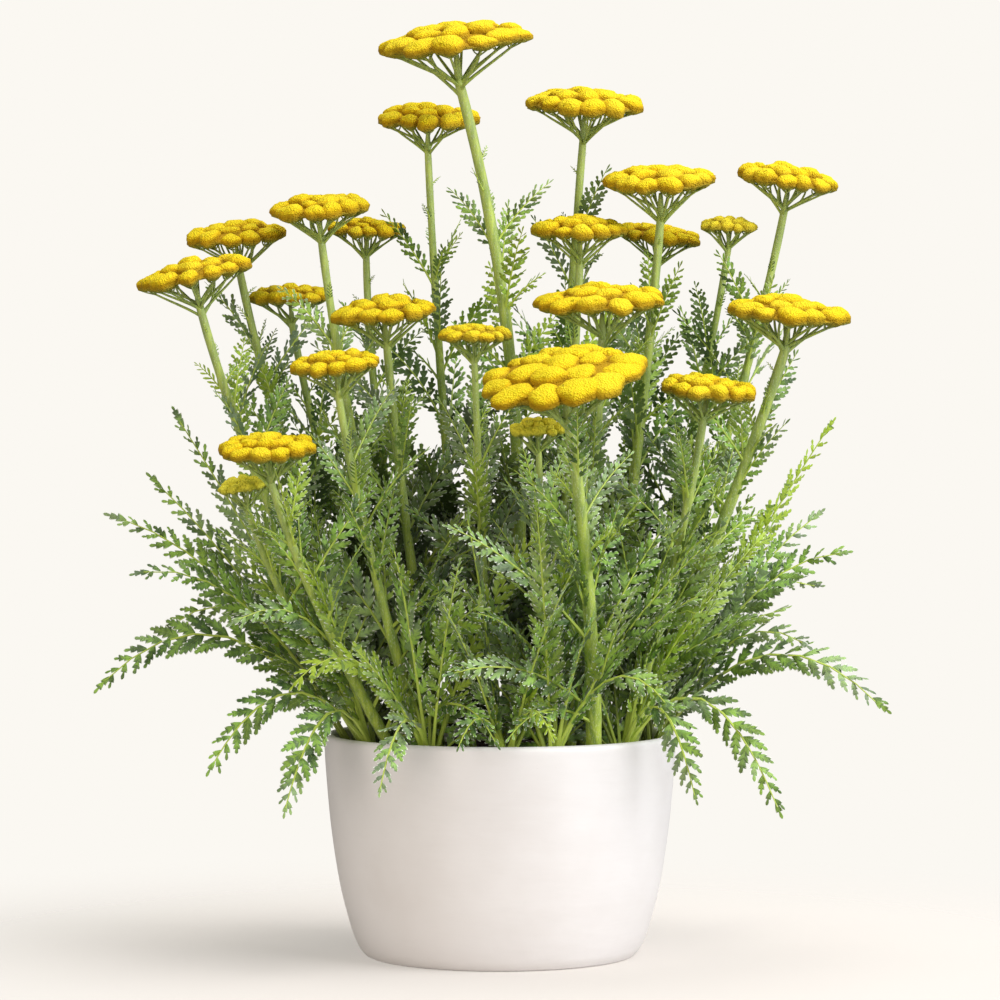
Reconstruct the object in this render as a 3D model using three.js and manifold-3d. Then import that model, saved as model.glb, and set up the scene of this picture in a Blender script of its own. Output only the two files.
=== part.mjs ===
// Fernleaf yarrow in flower, growing in a round white ceramic pot.
// Millimetres, +Z up. The origin is the middle of the pot's flat base, and the plant's front faces -Y.
// Nodes: the pot, its soil, twenty-three leafy stalks, the bloom on each stalk, and twelve tufts of fronds.
import * as THREE from "three";
import { mergeVertices } from "three/addons/utils/BufferGeometryUtils.js";
import Module from "manifold-3d";

const wasm = await Module();
wasm.setup();

// Pot: outer radius at each height from the base up, and inner radius from the lip down
const POT_HEIGHT = 151;
const POT_FLOOR = 8;
const POT_SEGMENTS = 36;
const POT_OUTLINE = [
  [91, 0],
  [93.4, 1.6],
  [97.6, 8],
  [102.6, 21.8],
  [109.6, 50],
  [115.4, 88],
  [119, 128],
  [120, 147.5],
];
const POT_HOLLOW = [
  [112.6, 143],
  [111, 110],
  [102.4, 50],
  [92, 14],
  [82, 8],
];
const LIP_ROUNDING = 3.5;

// Soil
const SOIL_TOP = 137;
const SOIL_SEGMENTS = 20;
const SOIL_RINGS = [100, 48];
const CRUMB_HEIGHT = 2.5;
const GAP = 0.35;
const HOLE_SIDES = 4;
const HOLE_CLEARANCE = 0.9;

// Stalks: middle of the bloom, its width, its lean to the right and to the front in degrees,
// the stalk's foot on the soil, how far it bows to the right, and how many leaves it carries
const STALKS = [
  { bloom: [-31, 0, 620], width: 106, lean: [-7, 11], foot: [4, 4], bow: 33, leaves: 7 },
  { bloom: [-50, 60, 573], width: 70, lean: [1, 12], foot: [-20, 30], bow: 0, leaves: 5 },
  { bloom: [59, 75, 584], width: 85, lean: [2, 12], foot: [34, 40], bow: -6, leaves: 5 },
  { bloom: [110, 25, 527], width: 80, lean: [-2, 11], foot: [66, 8], bow: 0, leaves: 5 },
  { bloom: [200, 45, 530], width: 70, lean: [8, 10], foot: [80, 22], bow: 0, leaves: 5 },
  { bloom: [-124, 15, 508], width: 69, lean: [-4, 11], foot: [-52, 6], bow: 0, leaves: 4 },
  { bloom: [55, 20, 494], width: 65, lean: [0, 9], foot: [30, 6], bow: 0, leaves: 4 },
  { bloom: [-93, 70, 497], width: 54, lean: [2, 9], foot: [-42, 36], bow: -8, leaves: 4 },
  { bloom: [112, 85, 493], width: 60, lean: [7, 9], foot: [56, 62], bow: 0, leaves: 4 },
  { bloom: [159, 50, 498], width: 43, lean: [2, 8], foot: [72, 50], bow: 0, leaves: 3 },
  { bloom: [-183, 45, 491], width: 71, lean: [-5, 9], foot: [-74, 28], bow: 0, leaves: 4 },
  { bloom: [-208, -15, 462], width: 80, lean: [-12, 8], foot: [-76, 2], bow: 0, leaves: 5 },
  { bloom: [-146, 65, 450], width: 60, lean: [-2, 8], foot: [-60, 48], bow: 0, leaves: 4 },
  { bloom: [-78, -35, 436], width: 73, lean: [-5, 9], foot: [-40, -30], bow: 0, leaves: 4 },
  { bloom: [68, -45, 443], width: 91, lean: [-2, 9], foot: [46, -22], bow: 0, leaves: 4 },
  { bloom: [-17, -55, 421], width: 50, lean: [0, 7], foot: [-4, -36], bow: 0, leaves: 4 },
  { bloom: [194, -40, 435], width: 85, lean: [5, 8], foot: [84, -22], bow: -6, leaves: 5 },
  { bloom: [-109, -75, 401], width: 62, lean: [-5, 9], foot: [-48, -66], bow: 0, leaves: 4 },
  { bloom: [41, -138, 391], width: 112, lean: [-8, 19], foot: [62, -78], bow: 8, leaves: 5 },
  { bloom: [137, -75, 384], width: 67, lean: [6, 9], foot: [80, -46], bow: 0, leaves: 4 },
  { bloom: [-152, -105, 345], width: 66, lean: [-3, 11], foot: [-68, -58], bow: 0, leaves: 4 },
  { bloom: [-170, -75, 320], width: 37, lean: [-9, 8], foot: [-86, -34], bow: 0, leaves: 3 },
  { bloom: [25, -98, 358], width: 40, lean: [-2, 8], foot: [36, -66], bow: 0, leaves: 3 },
];

// Stalk form
const STALK_STEPS = 4;
const ROOT_DEPTH = 14;
const LOWER_PULL = [0.42, 0.33];
const UPPER_PULL = [0.8, 0.68];
const FOOT_THICKENING = 1.25;
const BRANCH_RADIUS = 1.5;
const BRANCH_REACH = [0.74, 0.5];

// Bloom form: a cap of domes in rings, and the flat underside that the branches hold
const DOME_SPACING = 19;
const DOME_RISE = 5.4;
const CROWN_RISE = 0.055;
const VALLEY_DROP = 1.4;
const UNDERSIDE = 6;
const DOME_SCATTER = 0.13;

// Leaves: a ridged midrib with leaflets cut to it
const RIB_HALF_WIDTH = 1.3;
const RIB_HEIGHT = 1.8;
const LEAFLET_SWEEP = 0.62;
const LEAFLET_CURL = 0.16;
const STALK_LEAF_SPAN = [0.2, 0.74];
const STALK_LEAF_LENGTH = [112, 36];
const GOLDEN_ANGLE = 2.39996;
const LEAF_CLEARANCE = 0.35;
const LONGEST_SEAM = 22;

// Ways to bend a leaf clear of its neighbours, tried in turn: turn and lift in radians, length factor
const BENDS = [1, 0.85, 0.68, 0.5].flatMap((length) =>
  [
    [0, 0],
    [0.08, 0.02],
    [-0.08, 0.02],
    [0, 0.08],
    [0, -0.08],
    [0.18, 0.05],
    [-0.18, 0.05],
    [0, 0.2],
    [0.34, 0],
    [-0.34, 0],
    [0.3, 0.24],
    [-0.3, 0.24],
    [0, -0.2],
    [0.6, 0.1],
    [-0.6, 0.1],
    [1, 0.15],
    [-1, 0.15],
    [1.5, 0.1],
    [-1.5, 0.1],
  ].map(([turn, lift]) => ({ turn, lift, length })),
);

// Fronds that grow from crowns around the pot: the tip of each, how high its arch stands over the
// straight line from foot to tip, and the length of its leaflets
const TUFTS = [
  {
    foot: [-99, -12],
    fronds: [
      { tip: [-271, -34, 184], arch: 110, leaflet: 22 },
      { tip: [-266, 2, 299], arch: 58, leaflet: 21 },
      { tip: [-240, 26, 324], arch: 30, leaflet: 20 },
      { tip: [-244, -58, 262], arch: 76, leaflet: 20 },
    ],
  },
  {
    foot: [-84, -58],
    fronds: [
      { tip: [-192, -92, 133], arch: 92, leaflet: 21 },
      { tip: [-141, -124, 108], arch: 92, leaflet: 20 },
      { tip: [-180, -70, 232], arch: 56, leaflet: 22 },
      { tip: [-205, -88, 205], arch: 84, leaflet: 20 },
    ],
  },
  {
    foot: [-46, -88],
    fronds: [
      { tip: [-78, -150, 124], arch: 70, leaflet: 17 },
      { tip: [-70, -128, 286], arch: 24, leaflet: 22 },
      { tip: [-126, -134, 190], arch: 78, leaflet: 20 },
    ],
  },
  {
    foot: [4, -93],
    fronds: [
      { tip: [-31, -150, 198], arch: 58, leaflet: 18 },
      { tip: [-24, -142, 150], arch: 46, leaflet: 14 },
      { tip: [-22, -116, 305], arch: 26, leaflet: 22 },
      { tip: [34, -150, 158], arch: 50, leaflet: 14 },
    ],
  },
  {
    foot: [34, -94],
    fronds: [
      { tip: [84, -142, 240], arch: 42, leaflet: 20 },
      { tip: [60, -146, 290], arch: 30, leaflet: 20 },
      { tip: [110, -148, 178], arch: 72, leaflet: 18 },
    ],
  },
  {
    foot: [81, -63],
    fronds: [
      { tip: [128, -120, 116], arch: 92, leaflet: 19 },
      { tip: [184, -108, 106], arch: 112, leaflet: 21 },
      { tip: [168, -124, 214], arch: 72, leaflet: 21 },
      { tip: [150, -98, 288], arch: 40, leaflet: 22 },
    ],
  },
  {
    foot: [103, -4],
    fronds: [
      { tip: [262, -40, 166], arch: 100, leaflet: 22 },
      { tip: [247, -8, 266], arch: 68, leaflet: 22 },
      { tip: [205, -66, 214], arch: 72, leaflet: 21 },
      { tip: [236, 10, 300], arch: 44, leaflet: 20 },
    ],
  },
  {
    foot: [96, 34],
    fronds: [
      { tip: [246, 40, 356], arch: 10, leaflet: 20 },
      { tip: [246, 96, 236], arch: 84, leaflet: 22 },
      { tip: [210, 62, 362], arch: 12, leaflet: 19 },
      { tip: [190, 142, 176], arch: 96, leaflet: 22 },
    ],
  },
  {
    foot: [52, 86],
    fronds: [
      { tip: [150, 196, 182], arch: 96, leaflet: 22 },
      { tip: [96, 172, 300], arch: 46, leaflet: 22 },
      { tip: [72, 222, 236], arch: 84, leaflet: 22 },
      { tip: [122, 128, 116], arch: 92, leaflet: 18 },
    ],
  },
  {
    foot: [2, 88],
    fronds: [
      { tip: [22, 234, 178], arch: 100, leaflet: 22 },
      { tip: [-26, 212, 262], arch: 72, leaflet: 22 },
      { tip: [8, 158, 326], arch: 34, leaflet: 21 },
      { tip: [-14, 152, 112], arch: 88, leaflet: 18 },
    ],
  },
  {
    foot: [-50, 84],
    fronds: [
      { tip: [-118, 204, 196], arch: 96, leaflet: 22 },
      { tip: [-84, 168, 306], arch: 44, leaflet: 22 },
      { tip: [-150, 164, 262], arch: 72, leaflet: 22 },
      { tip: [-86, 142, 112], arch: 88, leaflet: 18 },
    ],
  },
  {
    foot: [-90, 46],
    fronds: [
      { tip: [-236, 78, 216], arch: 98, leaflet: 22 },
      { tip: [-226, 44, 370], arch: 10, leaflet: 19 },
      { tip: [-206, 132, 286], arch: 62, leaflet: 22 },
      { tip: [-190, 126, 158], arch: 94, leaflet: 20 },
    ],
  },
];
const CROWN_RADIUS = 6;
const CROWN_HEIGHT = 7;
const CROWN_SIDES = 5;
const FROND_PAIRS = 7;
const FROND_BARE = 0.2;
const FROND_OFFSET = 2.5;
const FACING_ROLL = 1.1;

// Colours of the parts
const FINISHES = {
  pot: { color: 0xe9e3de, roughness: 0.45, metalness: 0 },
  soil: { color: 0x33271f, roughness: 0.95, metalness: 0 },
  stalk: { color: 0x7f9c58, roughness: 0.7, metalness: 0 },
  bloom: { color: 0xdcbc1e, roughness: 0.8, metalness: 0 },
  frond: { color: 0x4f7a3c, roughness: 0.7, metalness: 0 },
};

const UP = new THREE.Vector3(0, 0, 1);
const RIGHT = new THREE.Vector3(1, 0, 0);
const FRONT = new THREE.Vector3(0, -1, 0);

// A repeatable draw from 0 to 1 for three whole numbers
function draw(a, b, c) {
  const wave = Math.sin(a * 12.9898 + b * 78.233 + c * 37.719) * 43758.5453;
  return wave - Math.floor(wave);
}

// The same draw, from -1 to 1
function swing(a, b, c) {
  return 2 * draw(a, b, c) - 1;
}

function mix(a, b, t) {
  return a + (b - a) * t;
}

// A closed surface under construction: points, and polygons over them seen from outside
class Shell {
  constructor() {
    this.points = [];
    this.faces = [];
  }

  add(point) {
    return this.points.push(point) - 1;
  }

  face(...corners) {
    for (let k = 1; k < corners.length - 1; k += 1) {
      this.faces.push(corners[0], corners[k], corners[k + 1]);
    }
  }

  solid() {
    return new wasm.Manifold(
      new wasm.Mesh({
        numProp: 3,
        vertProperties: new Float32Array(this.points.flatMap((p) => p.toArray())),
        triVerts: new Uint32Array(this.faces),
      }),
    );
  }
}

// A closed three.js geometry as a solid, its seam merged
function solidOf(geometry) {
  geometry.deleteAttribute("normal");
  geometry.deleteAttribute("uv");
  const merged = mergeVertices(geometry, 1e-3);
  return new wasm.Manifold(
    new wasm.Mesh({
      numProp: 3,
      vertProperties: merged.attributes.position.array,
      triVerts: new Uint32Array(merged.index.array),
    }),
  );
}

function geometryOf(solid) {
  const mesh = solid.getMesh();
  return new THREE.BufferGeometry()
    .setAttribute("position", new THREE.BufferAttribute(mesh.vertProperties, 3))
    .setIndex(new THREE.BufferAttribute(mesh.triVerts, 1));
}

// A point at local coordinates x, y, z of a frame { at, right, back, up }
function inFrame(frame, x, y, z) {
  return frame.at
    .clone()
    .addScaledVector(frame.right, x)
    .addScaledVector(frame.back, y)
    .addScaledVector(frame.up, z);
}

function circle(angle, radius) {
  return [radius * Math.cos(angle), radius * Math.sin(angle)];
}

// A loop of points round a frame's up axis
function loop(frame, radius, sides) {
  return Array.from({ length: sides }, (_, i) =>
    inFrame(frame, ...circle((2 * Math.PI * i) / sides, radius), 0),
  );
}

// A frame that stands at a point with its up axis along a direction
function frameAt(at, along) {
  const up = along.clone().normalize();
  const right = up.clone().cross(FRONT).normalize();
  return { at, right, back: up.clone().cross(right), up };
}

// A surface through a row of loops, open at its far end, which it gives back with the surface
function sleeve(loops) {
  const shell = new Shell();
  const rows = loops.map((points) => points.map((point) => shell.add(point)));
  const sides = loops[0].length;
  for (let k = 0; k < rows.length - 1; k += 1) {
    for (let i = 0; i < sides; i += 1) {
      const j = (i + 1) % sides;
      shell.face(rows[k][i], rows[k][j], rows[k + 1][j], rows[k + 1][i]);
    }
  }
  shell.face(...[...rows[0]].reverse());
  return { shell, end: rows.at(-1) };
}

// A solid through a row of loops, closed at both ends
function loft(loops) {
  const { shell, end } = sleeve(loops);
  shell.face(...end);
  return shell.solid();
}

// Pot: one lathe of the outer outline, the rounded lip and the hollow
function makePot() {
  const [lip] = POT_OUTLINE.at(-1);
  const profile = [
    [0, 0],
    ...POT_OUTLINE,
    [lip - LIP_ROUNDING * 0.5, POT_HEIGHT - LIP_ROUNDING * 0.2],
    [lip - LIP_ROUNDING, POT_HEIGHT],
    [lip - LIP_ROUNDING * 1.8, POT_HEIGHT - LIP_ROUNDING * 0.3],
    ...POT_HOLLOW,
    [0, POT_FLOOR],
  ].map(([radius, height]) => new THREE.Vector2(radius, height));
  return solidOf(new THREE.LatheGeometry(profile, POT_SEGMENTS).rotateX(Math.PI / 2));
}

// Soil: fills the hollow to a crumbly top, with a plain hole for each thing that stands in it
function makeSoil(holes) {
  const wall = POT_HOLLOW.filter(([, height]) => height < SOIL_TOP);
  const shoulder = mix(POT_HOLLOW[1][0], POT_HOLLOW[0][0], 0.7) - 2 * GAP;
  const profile = [
    [0, POT_FLOOR + GAP],
    ...wall.reverse().map(([radius, height]) => [radius - 2 * GAP, height + GAP]),
    [shoulder, SOIL_TOP - CRUMB_HEIGHT],
    ...SOIL_RINGS.map((radius) => [radius, SOIL_TOP]),
    [0, SOIL_TOP],
  ].map(([radius, height]) => new THREE.Vector2(radius, height));
  const lathe = new THREE.LatheGeometry(profile, SOIL_SEGMENTS).rotateX(Math.PI / 2);
  const { position } = lathe.attributes;
  for (let i = 0; i < position.count; i += 1) {
    if (position.getZ(i) > SOIL_TOP - 1) {
      const crumb = swing(Math.round(position.getX(i)), Math.round(position.getY(i)), 5);
      position.setZ(i, SOIL_TOP + (crumb * CRUMB_HEIGHT) / 2);
    }
  }
  return holes.reduce((soil, hole) => soil.subtract(hole), solidOf(lathe));
}

// The frame of a bloom: its middle, and an up axis leaning to the right and to the front
function bloomFrame({ bloom, lean }) {
  const [side, front] = lean.map((angle) => Math.tan(THREE.MathUtils.degToRad(angle)));
  const up = new THREE.Vector3(side, -front, 1).normalize();
  const right = RIGHT.clone().addScaledVector(up, -up.x).normalize();
  return { at: new THREE.Vector3(...bloom), right, back: up.clone().cross(right), up };
}

// How many domes each ring of a bloom holds, from the middle out
function domeRings(width) {
  const across = width / DOME_SPACING;
  if (across > 5.4) return [1, 6, 12, 18];
  if (across > 3.9) return [1, 6, 12];
  if (across > 3) return [3, 9];
  return [1, 6];
}

// Joins two rings of points, each in turning order, by triangles of point numbers
function zip(inner, outer, angleOf) {
  const triangles = [];
  const turned = (list, k) => angleOf(list[k % list.length]) + 2 * Math.PI * Math.floor(k / list.length);
  let [i, j] = [0, 0];
  const innerSteps = inner.length > 1 ? inner.length : 0;
  while (i < innerSteps || j < outer.length) {
    const stepInner =
      j >= outer.length || (i < innerSteps && turned(inner, i + 1) <= turned(outer, j + 1));
    const [a, b] = [inner[i % inner.length], outer[j % outer.length]];
    if (stepInner) {
      i += 1;
      triangles.push([a, b, inner[i % inner.length]]);
    } else {
      j += 1;
      triangles.push([a, b, outer[j % outer.length]]);
    }
  }
  return triangles;
}

// The tops of a bloom's domes in its own plane, ring by ring
function domeTops(index, width) {
  const rings = domeRings(width);
  const first = rings[0] === 1 ? 0 : 0.58;
  const spacing = width / 2 / (rings.length - 1 + first + 0.5);
  return rings.map((count, ring) =>
    Array.from({ length: count }, (_, k) => {
      const radius = spacing * (ring + first) * (1 + DOME_SCATTER * 0.5 * swing(index, ring, k));
      const start = 0.5 * ring + 0.1 * index;
      const step = (2 * Math.PI) / count;
      const angle = start + step * (k + DOME_SCATTER * swing(index, k, ring + 20));
      return { x: radius * Math.cos(angle), y: radius * Math.sin(angle), angle, spacing };
    }),
  );
}

// Bloom: fans of facets rise to each dome's top from the valleys between the domes
function makeBloom(stalk, index) {
  const frame = bloomFrame(stalk);
  const half = stalk.width / 2;
  const shell = new Shell();
  const crown = (x, y) => CROWN_RISE * stalk.width * (1 - (x * x + y * y) / (half * half));
  const rings = domeTops(index, stalk.width);
  const domes = rings.flat();
  const outer = rings.at(-1);
  domes.forEach((dome, k) => {
    const rise = DOME_RISE * (1 + 0.22 * swing(index, k, 41));
    dome.top = shell.add(inFrame(frame, dome.x, dome.y, crown(dome.x, dome.y) + rise));
    dome.around = [];
  });
  const angleOf = (dome) => dome.angle;
  const cells = rings[0].length === 3 ? [rings[0]] : [];
  for (let ring = 1; ring < rings.length; ring += 1) {
    cells.push(...zip(rings[ring - 1], rings[ring], angleOf));
  }
  cells.forEach((cell) => {
    const x = (cell[0].x + cell[1].x + cell[2].x) / 3;
    const y = (cell[0].y + cell[1].y + cell[2].y) / 3;
    const valley = { x, y, id: shell.add(inFrame(frame, x, y, crown(x, y) - VALLEY_DROP)) };
    cell.forEach((dome) => dome.around.push(valley));
  });
  const rim = [];
  outer.forEach((dome, k) => {
    const next = outer[(k + 1) % outer.length];
    const turn = next.angle < dome.angle ? 2 * Math.PI : 0;
    const between = (dome.angle + next.angle + turn) / 2;
    const put = (radius, angle) => {
      const [x, y] = [radius * Math.cos(angle), radius * Math.sin(angle)];
      return { x, y, angle, id: shell.add(inFrame(frame, x, y, -0.5)) };
    };
    const bulge = put(Math.hypot(dome.x, dome.y) + dome.spacing * 0.5, dome.angle);
    const notch = put(half - dome.spacing * 0.3, between);
    rim.push(bulge, notch);
    dome.around.push(bulge, notch);
    next.around.push(notch);
  });
  domes.forEach((dome) => {
    const angle = (point) => Math.atan2(point.y - dome.y, point.x - dome.x);
    const round = dome.around.sort((a, b) => angle(a) - angle(b));
    round.forEach((point, k) => shell.face(dome.top, point.id, round[(k + 1) % round.length].id));
  });
  const foot = outer.map((dome) => {
    const radius = half - dome.spacing * 0.42;
    const [x, y] = [radius * Math.cos(dome.angle), radius * Math.sin(dome.angle)];
    return { angle: dome.angle, id: shell.add(inFrame(frame, x, y, -UNDERSIDE)) };
  });
  zip(foot, rim, angleOf).forEach((cell) => shell.face(cell[0].id, cell[2].id, cell[1].id));
  const middle = shell.add(inFrame(frame, 0, 0, -UNDERSIDE));
  foot.forEach((point, k) => shell.face(middle, foot[(k + 1) % foot.length].id, point.id));
  return shell.solid();
}

// The centre line of a stalk: a curve from its foot, leaning out and then up, to the fork
function stalkLine(stalk) {
  const frame = bloomFrame(stalk);
  const fork = inFrame(frame, 0, 0, -UNDERSIDE - forkDepth(stalk));
  const foot = new THREE.Vector3(...stalk.foot, SOIL_TOP);
  const pull = ([out, up]) => {
    const x = mix(foot.x, fork.x, out) + stalk.bow;
    return new THREE.Vector3(x, mix(foot.y, fork.y, out), mix(foot.z, fork.z, up));
  };
  return new THREE.CubicBezierCurve3(foot, pull(LOWER_PULL), pull(UPPER_PULL), fork);
}

// How far the branches fork below the underside of the bloom
function forkDepth(stalk) {
  return 2 + 0.17 * stalk.width;
}

function stalkRadius(stalk, t) {
  return (2.3 + 0.021 * stalk.width) * mix(FOOT_THICKENING, 1, Math.min(1, t * 2));
}

// Bare stalk: rooted below the soil. Its end forks into branches that spread to the bloom's
// underside: each grows from one facet of a low point that closes the stalk.
function makeStalk(stalk, index) {
  const line = stalkLine(stalk);
  const sides = stalk.width > 78 ? 6 : 5;
  const start = line.getTangent(0);
  const root = line.getPoint(0).addScaledVector(start, -ROOT_DEPTH);
  const loops = [loop(frameAt(root, start), stalkRadius(stalk, 0), sides)];
  for (let step = 0; step <= STALK_STEPS; step += 1) {
    const t = step / STALK_STEPS;
    loops.push(loop(frameAt(line.getPoint(t), line.getTangent(t)), stalkRadius(stalk, t), sides));
  }
  const { shell, end } = sleeve(loops);
  const frame = bloomFrame(stalk);
  const point = shell.add(line.getPoint(1).addScaledVector(frame.up, stalkRadius(stalk, 1)));
  end.forEach((corner, k) => {
    const base = [corner, end[(k + 1) % sides], point];
    const angle = (2 * Math.PI * (k + 0.5)) / sides;
    const reach = (stalk.width / 2) * BRANCH_REACH[(k + index) % 2];
    const at = inFrame(frame, reach * Math.cos(angle), reach * Math.sin(angle), -UNDERSIDE - GAP);
    const tip = [angle - 1.05, angle + 1.05, angle + Math.PI].map((turn) =>
      shell.add(inFrame({ ...frame, at }, ...circle(turn, BRANCH_RADIUS), 0)),
    );
    base.forEach((a, i) => shell.face(a, base[(i + 1) % 3], tip[(i + 1) % 3], tip[i]));
    shell.face(...tip);
  });
  return shell.solid();
}

// The plug of space that a stalk or crown needs in the soil
function rootSpace(foot, along, radius) {
  const low = foot.clone().addScaledVector(along, -ROOT_DEPTH - GAP);
  const high = foot.clone().addScaledVector(along, CRUMB_HEIGHT * 3);
  const room = (radius + HOLE_CLEARANCE) / Math.cos(Math.PI / HOLE_SIDES);
  return loft([low, high].map((at) => loop(frameAt(at, along), room, HOLE_SIDES)));
}

// Turns the two arms of a leaf's curve about its root: round the upright, and up
function bendArms(arms, azimuth, { turn, lift, length }) {
  const hinge = new THREE.Vector3(Math.sin(azimuth), -Math.cos(azimuth), 0);
  return arms.map((arm) =>
    arm.clone().applyAxisAngle(hinge, lift).applyAxisAngle(UP, turn).multiplyScalar(length),
  );
}

// A leaf: its midrib is a curve from the root, by the middle, to the tip. Leaflets on both sides
// are cut to the midrib, longest halfway along, swept forward and curled down a little.
function makeLeaf({ root, arms, azimuth, roll, leaflet, pairs, bare }) {
  const line = new THREE.QuadraticBezierCurve3(root, root.clone().add(arms[0]), root.clone().add(arms[1]));
  const length = line.getLength();
  const level = new THREE.Vector3(Math.sin(azimuth), -Math.cos(azimuth), 0);
  const shell = new Shell();
  const frameOf = (s) => {
    const along = line.getTangentAt(s);
    const flat = level.clone().addScaledVector(along, -level.dot(along)).normalize();
    const over = flat.clone().cross(along);
    const right = flat.clone().multiplyScalar(Math.cos(roll)).addScaledVector(over, Math.sin(roll));
    return { at: line.getPointAt(s), right, back: along, up: right.clone().cross(along) };
  };
  const places = [0, ...Array.from({ length: pairs + 1 }, (_, k) => mix(bare, 0.93, k / pairs))];
  const rows = places.map((s) => {
    const frame = frameOf(s);
    const taper = 1 - 0.5 * s;
    return {
      right: shell.add(inFrame(frame, RIB_HALF_WIDTH * taper, 0, 0)),
      top: shell.add(inFrame(frame, 0, 0, RIB_HEIGHT * taper)),
      left: shell.add(inFrame(frame, -RIB_HALF_WIDTH * taper, 0, 0)),
    };
  });
  shell.face(rows[0].right, rows[0].top, rows[0].left);
  for (let k = 0; k < rows.length - 1; k += 1) {
    const [a, b] = [rows[k], rows[k + 1]];
    shell.face(a.left, b.left, b.right, a.right);
    if (k === 0) {
      shell.face(a.right, b.right, b.top, a.top);
      shell.face(a.top, b.top, b.left, a.left);
      continue;
    }
    const s = (places[k] + places[k + 1]) / 2;
    const along = (s - bare) / (1 - bare);
    const reach = leaflet * Math.sin(Math.PI * (0.16 + 0.84 * along) ** 0.9) ** 0.7;
    const frame = frameOf(Math.min(0.99, s + (reach * LEAFLET_SWEEP) / length));
    const rightTip = shell.add(inFrame(frame, reach, 0, -LEAFLET_CURL * reach));
    shell.face(b.top, a.top, a.right, rightTip);
    shell.face(b.right, b.top, rightTip);
    shell.face(a.right, b.right, rightTip);
    const leftTip = shell.add(inFrame(frame, -reach, 0, -LEAFLET_CURL * reach));
    shell.face(a.top, b.top, leftTip, a.left);
    shell.face(b.top, b.left, leftTip);
    shell.face(b.left, a.left, leftTip);
  }
  const last = rows.at(-1);
  const tip = shell.add(line.getPoint(1));
  shell.face(last.top, last.right, tip);
  shell.face(last.left, last.top, tip);
  shell.face(last.right, last.left, tip);
  return shell.solid();
}

// How far a blade turns on its rib to show its face outward, in front and behind alike
function facingRoll(azimuth, root) {
  return -FACING_ROLL * Math.cos(azimuth) * (root.y > 25 ? -1 : 1);
}

// The leaves of a stalk: spaced up it by the golden angle, shorter and steeper towards the top
function stalkLeaves(stalk, index) {
  const line = stalkLine(stalk);
  return Array.from({ length: stalk.leaves }, (_, k) => {
    const share = stalk.leaves > 1 ? k / (stalk.leaves - 1) : 0;
    const t = mix(...STALK_LEAF_SPAN, share) + 0.03 * swing(index, k, 1);
    const root = line.getPoint(t);
    const azimuth = GOLDEN_ANGLE * k + 1.7 * index;
    const length = mix(...STALK_LEAF_LENGTH, Math.sqrt(share)) * (1 + 0.12 * swing(index, k, 2));
    const steep = mix(0.75, 1.05, share) + 0.12 * swing(index, k, 3);
    const arm = (rise) => new THREE.Vector3(...circle(azimuth, Math.cos(rise)), Math.sin(rise));
    const middle = arm(steep).multiplyScalar(length / 2);
    const tip = middle.clone().addScaledVector(arm(steep - 0.55), length / 2);
    return {
      root,
      arms: [middle, tip],
      azimuth,
      roll: facingRoll(azimuth, root) * 0.7 + 0.3 * swing(index, k, 4),
      leaflet: length * 0.2,
      pairs: length > 90 ? 4 : 3,
      bare: Math.min(0.3, (stalkRadius(stalk, t) + 2) / length),
    };
  });
}

// The fronds of a tuft: arched from the crown to their tips
function tuftFronds(tuft, index) {
  const crown = new THREE.Vector3(...tuft.foot, SOIL_TOP + CROWN_HEIGHT - 2);
  return tuft.fronds.map(({ tip, arch, leaflet }, k) => {
    const span = new THREE.Vector3(...tip).sub(crown);
    const azimuth = Math.atan2(span.y, span.x);
    const root = crown.clone().add(new THREE.Vector3(...circle(azimuth, FROND_OFFSET), 0));
    const reach = new THREE.Vector3(...tip).sub(root);
    const middle = reach.clone().multiplyScalar(0.5);
    middle.z += arch;
    return {
      root,
      arms: [middle, reach],
      azimuth,
      roll: facingRoll(azimuth, root) + 0.2 * swing(index, k, 9),
      leaflet,
      pairs: leaflet > 19 ? FROND_PAIRS : FROND_PAIRS - 1,
      bare: FROND_BARE,
    };
  });
}

function makeCrown(tuft) {
  const foot = new THREE.Vector3(...tuft.foot, SOIL_TOP);
  const at = (height) => frameAt(foot.clone().addScaledVector(UP, height), UP);
  return loft([
    loop(at(-ROOT_DEPTH), CROWN_RADIUS * 0.8, CROWN_SIDES),
    loop(at(0), CROWN_RADIUS, CROWN_SIDES),
    loop(at(CROWN_HEIGHT), CROWN_RADIUS * 0.8, CROWN_SIDES),
  ]);
}

// Whether two solids come closer than the clearance
function near(a, b) {
  const [p, q] = [a.box, b.box];
  for (let axis = 0; axis < 3; axis += 1) {
    if (p.min[axis] > q.max[axis] + LEAF_CLEARANCE) return false;
    if (q.min[axis] > p.max[axis] + LEAF_CLEARANCE) return false;
  }
  return a.solid.minGap(b.solid, LEAF_CLEARANCE * 2) < LEAF_CLEARANCE;
}

const numbered = (name, index) => name + "_" + String(index + 1).padStart(2, "0");

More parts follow.
